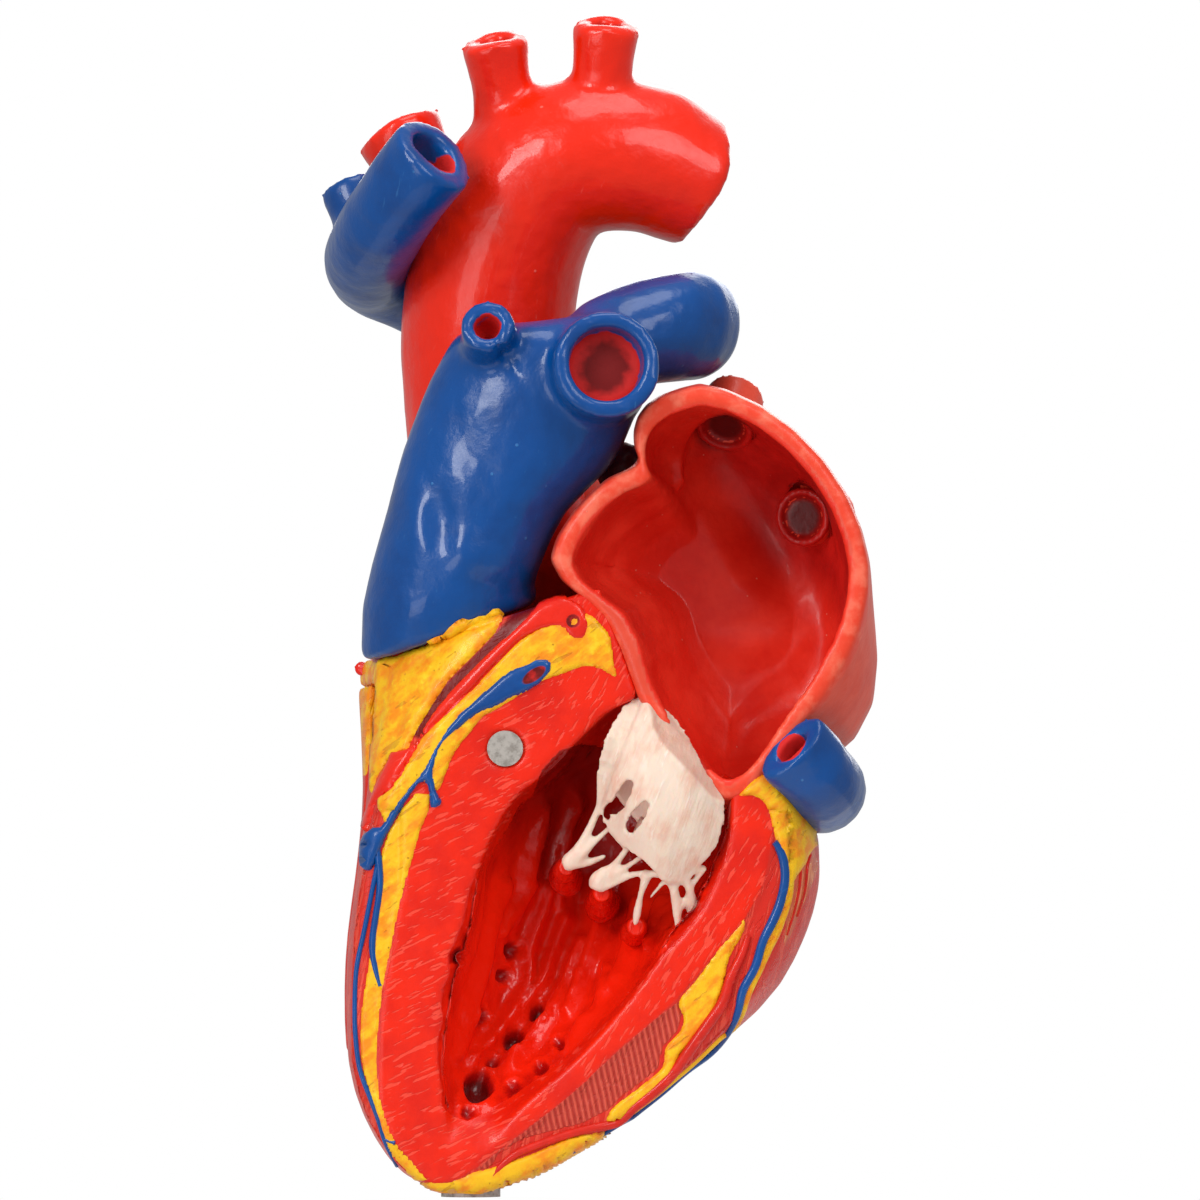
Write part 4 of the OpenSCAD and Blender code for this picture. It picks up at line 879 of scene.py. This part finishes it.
# pixel x, pixel y, half widths, turn in degrees, and depth in mm
TRUNK_DENTS = [(440, 512, 16, 34, 8, 1.8), (490, 582, 22, 14, -20, 1.6), (463, 545, 16, 20, 0, -1.2),
               (418, 520, 14, 40, 8, -0.8), (475, 455, 24, 40, 25, 0.5), (520, 470, 26, 30, 0, -0.6),
               (408, 600, 20, 22, 0, -0.6), (504, 348, 24, 6, -55, 1.8), (528, 330, 20, 18, 0, -0.8)]
TRUNK_PULLS = [(392, 646, 52, (0, 5)), (706, 290, 44, (6, -11))]
TRUNK_BORES = [((36.7, -45, 224), (35.5, -30, 222.5), 9.6, 10), ((4.6, -38, 234.5), (5, -26, 230), 3.7, 10),
               ((58.5, 20, 233.5), (57, 4, 233.8), 10, 10)]
LIP = [(426, 635), (434, 631), (443, 628), (449, 621), (456, 615), (462, 612), (470, 614), (478, 610),
       (486, 609), (492, 603), (498, 602), (504, 607), (502, 616), (490, 621), (478, 625), (462, 630),
       (445, 636), (430, 641)]


def dent(piece, rows):
    """Shallow dents, or bumps where the depth is negative, on the side that faces the viewer"""
    points, ways = points_of(piece), normals_of(piece)
    flat = points[:, [0, 2]]
    facing = np.clip(-ways[:, 1] * 2, 0, 1)
    for px, py, wide, high, turn, deep in rows:
        u, v = turned(flat, px, py, turn)
        points -= ways * (facing * deep / 1000 * np.exp(-(u / wide) ** 2 - (v / high) ** 2))[:, None]
    move_points(piece, points)


trunk = cast("trunk_cast", "trunk_piece", 0.0012, 12, "pulmonary_trunk")
waves(trunk, 0.022, 0.0006, 2)
dent(trunk, TRUNK_DENTS)
for pull in TRUNK_PULLS:
    push(trunk, *pull)
bore(trunk, *TRUNK_BORES)
paint(trunk, cast_blue)
both_sides = pile("both_sides_of_the_seam", [trunk.data, ventricles.data])
seam = tree_of(both_sides.data)
bpy.data.objects.remove(both_sides)
edge_fat = patch(LIP, 0.0009, 0.0012, 0.0004, sharp=True, sink=-0.0002, lift=0.0004, tree=seam)
lip = pile("trunk_fat_lip", [edge_fat], body="trunk_piece")
paint(lip, fat)


# ---- Coronary sinus: a short thick blue vein, cut open at the front
# Painted vinyl, one cast. Its cut end is squeezed to a slanting slit.
SINUS_BORE = ((86, -38.5, 121.5), (91.5, -30.5, 115.5), 4.5, 10)
SLIT = (0.66, 0, 0.75)
sinus = cast("coronary_sinus_cast", "heart", 0.0009, 8, "coronary_sinus")
waves(sinus, 0.010, 0.0003, 4)
end = np.array(SINUS_BORE[0]) / 1000
way = end - np.array(SINUS_BORE[1]) / 1000
way /= np.linalg.norm(way)
along = SLIT - way * (way @ SLIT)
along /= np.linalg.norm(along)
across = np.cross(way, along)
away = points_of(sinus) - end
near = np.exp(-((away @ way) / 0.009) ** 2)
away += along * ((away @ along) * 0.22 * near)[:, None] - across * ((away @ across) * 0.30 * near)[:, None]
move_points(sinus, away + end)
bore(sinus, SINUS_BORE)
paint(sinus, cast_blue)


# ---- Atria: hollow left bowl with a thick pale rim, and the closed right atrium behind
# Satin painted vinyl, glued on the ventricles. The bowl has a pouch at the top, a soft winding crease and
# the mouths of two veins, and a small lobe outside that closes the gap to the trunk. Painted shade darkens
# the far wall and the vein mouths, and painted shadow makes the lobe's front near black.
RIM_OUTER = [(694, 381), (659, 397), (639, 415), (632, 434), (634, 457), (604, 477), (575, 502), (557, 526),
             (550, 554), (557, 578), (585, 601), (607, 621), (619, 646), (627, 678), (648, 690), (725, 786),
             (744, 768), (757, 751), (778, 722), (797, 706), (812, 701), (825, 683), (842, 659), (858, 625),
             (863, 594), (869, 564), (866, 540), (856, 509), (839, 475), (812, 441), (778, 411), (744, 392),
             (703, 380)]
RIM_INNER = [(703, 398), (676, 403), (657, 421), (652, 438), (655, 452), (666, 470), (632, 484), (604, 499),
             (580, 526), (572, 559), (584, 582), (606, 606), (618, 628), (628, 655), (640, 684), (660, 700),
             (725, 782), (744, 757), (764, 731), (785, 706), (805, 686), (825, 662), (839, 635), (847, 605),
             (851, 571), (852, 543), (846, 523), (832, 492), (812, 462), (785, 436), (757, 416), (730, 404)]
NEAR = [(686, 458), (712, 492), (730, 523), (742, 548), (751, 564), (768, 578), (785, 588), (801, 597),
        (812, 611), (822, 626), (826, 642), (818, 676), (795, 710), (757, 755), (725, 790), (640, 710),
        (600, 620), (555, 570), (575, 505), (640, 465)]
POUCH = [(703, 392), (735, 400), (722, 412), (703, 424), (690, 440), (683, 456), (678, 468), (666, 480),
         (650, 466), (646, 438), (652, 416), (676, 398)]
OSTIA = [(722, 431), (799, 511)]
BULGE = (752, 632)
# how far the near wall stands out, the crease beside it sinks, the bulge and the pouch stand out, and the
# lining sinks round a vein's mouth
NEAR_HIGH, CREASE_DEEP, BULGE_HIGH, POUCH_HIGH, MOUTH_DEEP = 0.0066, 0.0010, 0.0030, 0.0045, 0.0012
VEIN_RADIUS = 0.0075
BOWL_MIDDLE = (0.070, -0.02, 0.163)
LOBE_MIDDLE = (0.0405, 0.008, 0.196)
LOBE_SIZE = (0.007, 0.005, 0.008, 1)
# a stump's inner end and a point on its axis
UPPER_STUMP = ((0.0675, 0.006, 0.2045), (0.0715, 0.018, 0.216))
LOWER_STUMP = ((0.088, 0.012, 0.183), (0.097, 0.032, 0.184))
form = bmesh.new()
form.from_mesh(joined("left_atrium_solid", ["left_atrium"]))
lobe = Matrix.Translation(LOBE_MIDDLE) @ Matrix.Diagonal(LOBE_SIZE)
bmesh.ops.create_icosphere(form, subdivisions=3, radius=1, matrix=lobe)
bowl = new_piece("left_atrium_bowl", meshed("left_atrium_bowl", form), "heart", "left_atrium")
remesh(bowl, 0.0011, 10)
points, ways = points_of(bowl), normals_of(bowl)
flat = points[:, [0, 2]]
within = region(flat, RIM_OUTER)
inward = ((BOWL_MIDDLE - points) * ways).sum(axis=1) > 0
lining = inward & (points[:, 1] > FACE + 0.002) & (within > 0.003)
share = np.clip((region(flat, NEAR) + 0.009) / 0.015, 0, 1)
shape = NEAR_HIGH * share ** 2 * (3 - 2 * share) - 0.0034
gap, _ = nearest(flat, rounded(spots(NEAR[:11])))
shape -= CREASE_DEEP * np.exp(-(gap / 0.006) ** 2)
shape += BULGE_HIGH * np.exp(-np.hypot(*(from_pixel(flat, *BULGE) / (0.014, 0.007)).T) ** 2)
shape += POUCH_HIGH * np.clip((region(flat, POUCH, True) + 0.001) / 0.003, 0, 1)
for ostium in OSTIA:
    gap = np.hypot(*from_pixel(flat, *ostium).T)
    shape -= MOUTH_DEEP * np.exp(-(gap / 0.010) ** 2)
shape += 0.0004 * lumps(points, 0.016, 2)
ease = np.clip((within - 0.0050) / 0.006, 0, 1) * lining
points += ways * (shape * ease)[:, None]
move_points(bowl, points)
band = np.minimum(within + 0.002, -region(flat, RIM_INNER) + 0.0002)
mark(bowl, "rim", np.where(points[:, 1] < FACE + 0.006, band, -0.01))
x, y, z = points.T
# the lobe's front-facing side beside the trunk, painted near black as shadow
shadowed = (ways[:, 1] < -0.1) & (x < 0.047) & (np.abs(y) < 0.0075) & (np.abs(z - LOBE_MIDDLE[2]) < 0.011)
mark(bowl, "inside", np.where(inward | shadowed, 1, 0))
# the far wall, beyond the near wall and the pouch, which the paint darkens as painted shade
far_wall_shade = np.minimum(-region(flat, NEAR), -region(flat, POUCH, True)) - 0.002
mark(bowl, "deep", np.where(lining, far_wall_shade, -0.01))
# the vein mouths and the lobe's front, painted near black as shade
gaps = [np.hypot(*(from_pixel(flat, *ostium) / (1, 0.9)).T) for ostium in OSTIA]
holes = VEIN_RADIUS - np.minimum(*gaps)
mark(bowl, "ostium", np.where(lining, holes, np.where(shadowed, 0.01, -0.01)))


def atrium_paint():
    """Satin red with a pale rim, and painted shade: darker on the far wall and almost black in the mouths"""
    s = Shade("atrium_paint")
    inside = s.attribute("inside").ramp(0.3, 0.7)
    rim = (s.attribute("rim") + (s.noise(0.004, 3) - 0.5) * 0.0016).ramp(-0.0002, 0.0006)
    cloud = s.noise(0.014, 4, 0.6)
    near = s.mix((0.76, 0.026, 0.012), (0.88, 0.050, 0.024), cloud.ramp(0.35, 0.7))
    deep = s.mix((0.42, 0.008, 0.006), (0.62, 0.016, 0.011), cloud.ramp(0.35, 0.7))
    # painted shade: the lining is darker on the far wall
    lining = s.mix(near, deep, (s.attribute("deep") + (cloud - 0.5) * 0.004).ramp(-0.003, 0.008))
    outer = s.mix((0.70, 0.060, 0.028), (0.80, 0.10, 0.055), cloud.ramp(0.35, 0.7))
    tone = s.mix(outer, lining, inside)
    pale = s.mix((0.80, 0.055, 0.022), (0.86, 0.15, 0.085), s.noise(0.006, 4, 0.6).ramp(0.42, 0.7))
    tone = s.mix(tone, pale, rim)
    specks = s.cells(0.0032).ramp(0.10, 0.05) * s.noise(0.012).ramp(0.54, 0.58)
    tone = s.mix(tone, (0.85, 0.30, 0.22), specks * 0.7)
    # painted shade: near black in the vein mouths and on the lobe's front
    tone = s.mix(tone, (0.10, 0.003, 0.003), s.attribute("ostium").ramp(-0.0004, 0.0030) * inside)
    rough = 0.40 + (cloud - 0.5) * 0.12
    height = s.noise(0.0035, 4, 0.6) * 0.00025 + s.noise(0.012, 3) * 0.0003 + specks * 0.0001
    return s.finish(tone, rough, height, **SATIN)


atrium_look = atrium_paint()
paint(bowl, atrium_look)
stumps = cast("pulmonary_vein_stumps", "heart", 0.0008, 6, "pulmonary_veins")
points = points_of(stumps)
high = points[:, 2:] > 0.195
start = np.where(high, UPPER_STUMP[0], LOWER_STUMP[0])
way = np.where(high, UPPER_STUMP[1], LOWER_STUMP[1]) - start
way /= np.linalg.norm(way, axis=1)[:, None]
along = ((points - start) * way).sum(axis=1)
off = np.linalg.norm(points - start - along[:, None] * way, axis=1)
move_points(stumps, points + way * np.clip(0.003 - along, 0, None)[:, None])
mark(stumps, "rim", -0.01)
mark(stumps, "inside", np.where((along < 0.0045) | (off < 0.0053), 1, 0))
# painted shade: the stumps take the far wall's darker colour, and are near black inside their bores
mark(stumps, "deep", 0.01)
mark(stumps, "ostium", 0.0065 - off)
paint(stumps, atrium_look)
right_atrium = cast("right_atrium_cast", "heart", 0.0013, 12, "right_atrium")
waves(right_atrium, 0.013, 0.0011, 6)
for name in ("rim", "inside", "ostium", "deep"):
    mark(right_atrium, name, -0.01)
paint(right_atrium, atrium_look)


# ---- Mitral valve: translucent cream sheet that thins into strings, one soft cast
# The leaflets and strings are joined with webs and drop-shaped ends, and softened. The papillary muscles
# that hold the strings are red casts in the chamber's wall.
def drops(rows):
    """A tendon string: a tube along one of the rows in CORDS"""
    rows = np.array(rows, float)
    line = rounded(np.column_stack([spots(rows[:, :2]), rows[:, 2] / 1000, rows[:, 3]]), step=0.0007)
    return tube(np.column_stack([line[:, 0], FACE + line[:, 2], line[:, 1]]), line[:, 3] * PIXEL / 2)


# pixel x, pixel y, depth behind the cut face in mm and width in pixels
CORDS = [
    [(614, 772, 2, 10), (600, 800, 4, 8), (588, 826, 6, 9), (578, 844, 7, 12), (570, 856, 8, 19),
     (563, 860, 8, 12)],
    [(634, 800, 1, 9), (612, 820, 4, 6), (594, 836, 6, 8), (580, 848, 7, 14), (568, 856, 8, 14)],
    [(606, 850, 7, 5), (590, 856, 8, 9), (574, 857, 8, 14)],
    [(644, 812, -1, 10), (630, 838, 1, 7), (614, 860, 4, 9), (604, 868, 5, 15), (598, 876, 6, 20),
     (594, 884, 6, 12)],
    [(655, 840, -2, 8), (634, 856, 1, 6), (614, 868, 4, 9), (602, 876, 6, 14)],
    [(660, 868, -1, 9), (636, 868, 2, 7), (614, 876, 5, 10), (600, 880, 6, 15)],
    [(648, 866, 0, 12), (641, 888, 3, 7), (637, 908, 6, 9), (635, 920, 7, 5)],
    [(668, 862, -1, 12), (674, 884, 2, 10), (677, 905, 5, 10), (678, 922, 6, 6)],
    [(684, 868, 0, 9), (690, 886, 3, 9), (692, 900, 6, 14), (690, 908, 7, 8)],
    [(676, 860, 0, 8), (660, 880, 2, 5), (650, 892, 4, 4)],
    [(704, 860, 1, 10), (692, 880, 3, 6), (680, 905, 5, 6)],
]
CREST = [(648, 688), (652, 720), (666, 744), (686, 764), (710, 791), (727, 798)]
FRONT = [CREST[0], (626, 696), (609, 720), (599, 750), (594, 776), (594, 800), (604, 822), (620, 842),
         (645, 858), (660, 876), (676, 882), (690, 876), (702, 862), (714, 848), (723, 829), *CREST[:0:-1]]
FOLD = [(646, 686), (656, 690), (676, 710), (693, 734), (706, 761), (720, 781), (728, 800), (710, 793),
        (686, 766), (664, 744), (650, 720)]
# pixel x, pixel y, two half widths in pixels and turn in degrees
HOLES = [(621, 791, 4.5, 19, -28), (636, 811, 5, 18, -33), (606, 806, 3, 9, -30), (619, 848, 12, 6, -35),
         (638, 862, 6, 5, 0)]
HINGE = (655, 680)
SHEET_THICK, RAY_HIGH = 0.0011, 0.0006
CREST_HIGH, CREST_WIDE = 0.0012, 0.0015
leaflet = tree_of(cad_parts["mitral_front_leaflet"].data)


def sheet(outline, holes, behind=0.0):
    """A sheet over the front leaflet, inside the outline and outside the holes, falling behind its crest"""
    loop = rounded(spots(outline), True)
    form, flat = gridded(loop.min(0), loop.max(0))
    keep = inset(flat, loop) >= 0
    for px, py, wide, high, turn in holes:
        u, v = turned(flat, px, py, turn)
        keep &= np.hypot(u / wide, v / high) > 1
    at, _ = landed(flat, leaflet)
    ray = from_pixel(flat, *HINGE)
    turn, far = np.arctan2(ray[:, 1], ray[:, 0]), np.hypot(*ray.T)
    folds = RAY_HIGH * np.clip(far / 0.02, 0, 1) * np.cos(turn * 13) * np.cos(turn * 5 + 1)
    crest, _ = nearest(flat, rounded(spots(CREST)))
    depth = at[:, 1] + folds + behind * crest - CREST_HIGH * np.exp(-(crest / CREST_WIDE) ** 2)
    for v, (x, z), y in zip(form.verts, flat, depth):
        v.co = (x, y, z)
    keep_only(form, keep)
    bmesh.ops.solidify(form, geom=form.faces[:], thickness=SHEET_THICK)
    bmesh.ops.recalc_face_normals(form, faces=form.faces)
    return meshed("sheet", form)


leaflets = [sheet(FRONT, HOLES), sheet(FOLD, [], 0.55), joined("rear", ["mitral_rear_leaflet"])]
valve = pile("mitral_valve", leaflets + [drops(cord) for cord in CORDS],
             "mitral_front_leaflet", "mitral_rear_leaflet", "mitral_strings")
remesh(valve, 0.00055, 7)
points = points_of(valve)
# the folded-back panel, which the paint darkens as painted shade
folded = region(points[:, [0, 2]], FOLD, True) - 0.0006
mark(valve, "fold", np.where(points[:, 1] < 0, folded, -0.01))


def cream():
    """Soft cream vinyl with fine rays, painted darker and pinker as shade where the sheet folds back"""
    s = Shade("cream_vinyl")
    ray = s.noise(1, 3, 0.6, s.grain((0.0016, 0.004, 0.016), (0, math.radians(20), 0)))
    share = (s.noise(0.007, 4) * 0.6 + ray * 0.4).ramp(0.45, 0.7)
    tone = s.mix((0.80, 0.63, 0.51), (0.74, 0.44, 0.33), share)
    tone = s.mix(tone, (0.90, 0.80, 0.70), ray.ramp(0.62, 0.70) * 0.6)
    # painted shade: darker and pinker where the sheet folds back
    tone = s.mix(tone, (0.62, 0.36, 0.27), s.attribute("fold").ramp(-0.0002, 0.0008) * 0.6)
    height = ray * 0.0003 + s.noise(0.003, 3) * 0.00025
    return s.finish(tone, 0.42 + s.noise(0.005) * 0.12, height,
                    Subsurface_Weight=0.25, Subsurface_Scale=0.003, **SATIN)


cream_vinyl = cream()
paint(valve, cream_vinyl)
muscle_forms = joined("papillary_muscles", ["papillary_muscles"])
muscles = new_piece("papillary_muscles_cast", muscle_forms, "heart", "papillary_muscles")
soft = muscles.modifiers.new("soft", "SUBSURF")
soft.levels = soft.render_levels = 2
settle(muscles)
waves(muscles, 0.009, 0.0008, 3)
mark_casting(muscles, chamber=0.02, rise=0.6)
paint(muscles, muscle_paint)
HIDDEN_VALVES = [
    ("aortic_valve_cast", "aortic_valve", 0.0006),
    ("pulmonary_valve_cast", "pulmonary_valve", 0.0006),
    ("tricuspid_curtain", "tricuspid_valve", 0.0007),
    ("tricuspid_cords", "tricuspid_strings", 0.0006),
]
for name, node, voxel in HIDDEN_VALVES:
    paint(cast(name, "heart", voxel, 4, node), cream_vinyl)


# ---- Right ventricle wall: lift-off shell, red outside with a lighter hatch
# Painted vinyl, held by magnets and pins. The cords of the right coronary artery and the middle vein run
# beside it on the back.
STRETCH, STRETCH_FROM = 0.09, 0.120
wall = cast("right_wall_shell", "right_wall_piece", 0.0011, 8, "right_ventricle_wall")
points = points_of(wall)
points[:, 2] += STRETCH * np.clip(points[:, 2] - STRETCH_FROM, 0, None)
move_points(wall, points)
in_band = region(points[:, [0, 2]], BANDS["yellow"][0], True)
mark_casting(wall, rise=0, yellow=np.minimum(in_band, -0.001 - points[:, 1]))
paint(wall, muscle_paint)
for name, node, look_of in (("right_coronary_cord", "right_coronary_artery", small_red),
                            ("middle_vein_cord", "middle_cardiac_vein", small_blue)):
    cord = cast(name, "heart", 0.0007, 6, node)
    mouths(cord)
    paint(cord, look_of)


# ---- Steel: nickel-plated magnets and pins, and the stand socket
# Turned faces with fine scratches and small pits, glued into their holes. Their meshes are the model's own.
def nickel():
    s = Shade("nickel")
    scratch = s.noise(1, 2, 0.6, s.grain((0.006, 0.006, 0.00025), (0, math.radians(35), 0)))
    cross = s.noise(1, 2, 0.6, s.grain((0.00025, 0.006, 0.005), (0, math.radians(15), 0)))
    pits = s.cells(0.0011).ramp(0.12, 0.05) * s.noise(0.003).ramp(0.5, 0.6)
    tone = s.mix((0.50, 0.46, 0.42), (0.30, 0.27, 0.24), s.noise(0.002, 4, 0.6).ramp(0.4, 0.7))
    tone = s.mix(tone, (0.12, 0.10, 0.09), pits * 0.7)
    height = scratch * 0.00003 + cross * 0.00002 - pits * 0.00006
    return s.finish(tone, 0.35 + scratch * 0.2 + cross * 0.1, height, Metallic=0.9)


steel = nickel()
for node in ("face_magnet", "seat_magnets", "wall_magnets", "locating_pins", "stand_socket"):
    paint(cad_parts[node], steel)
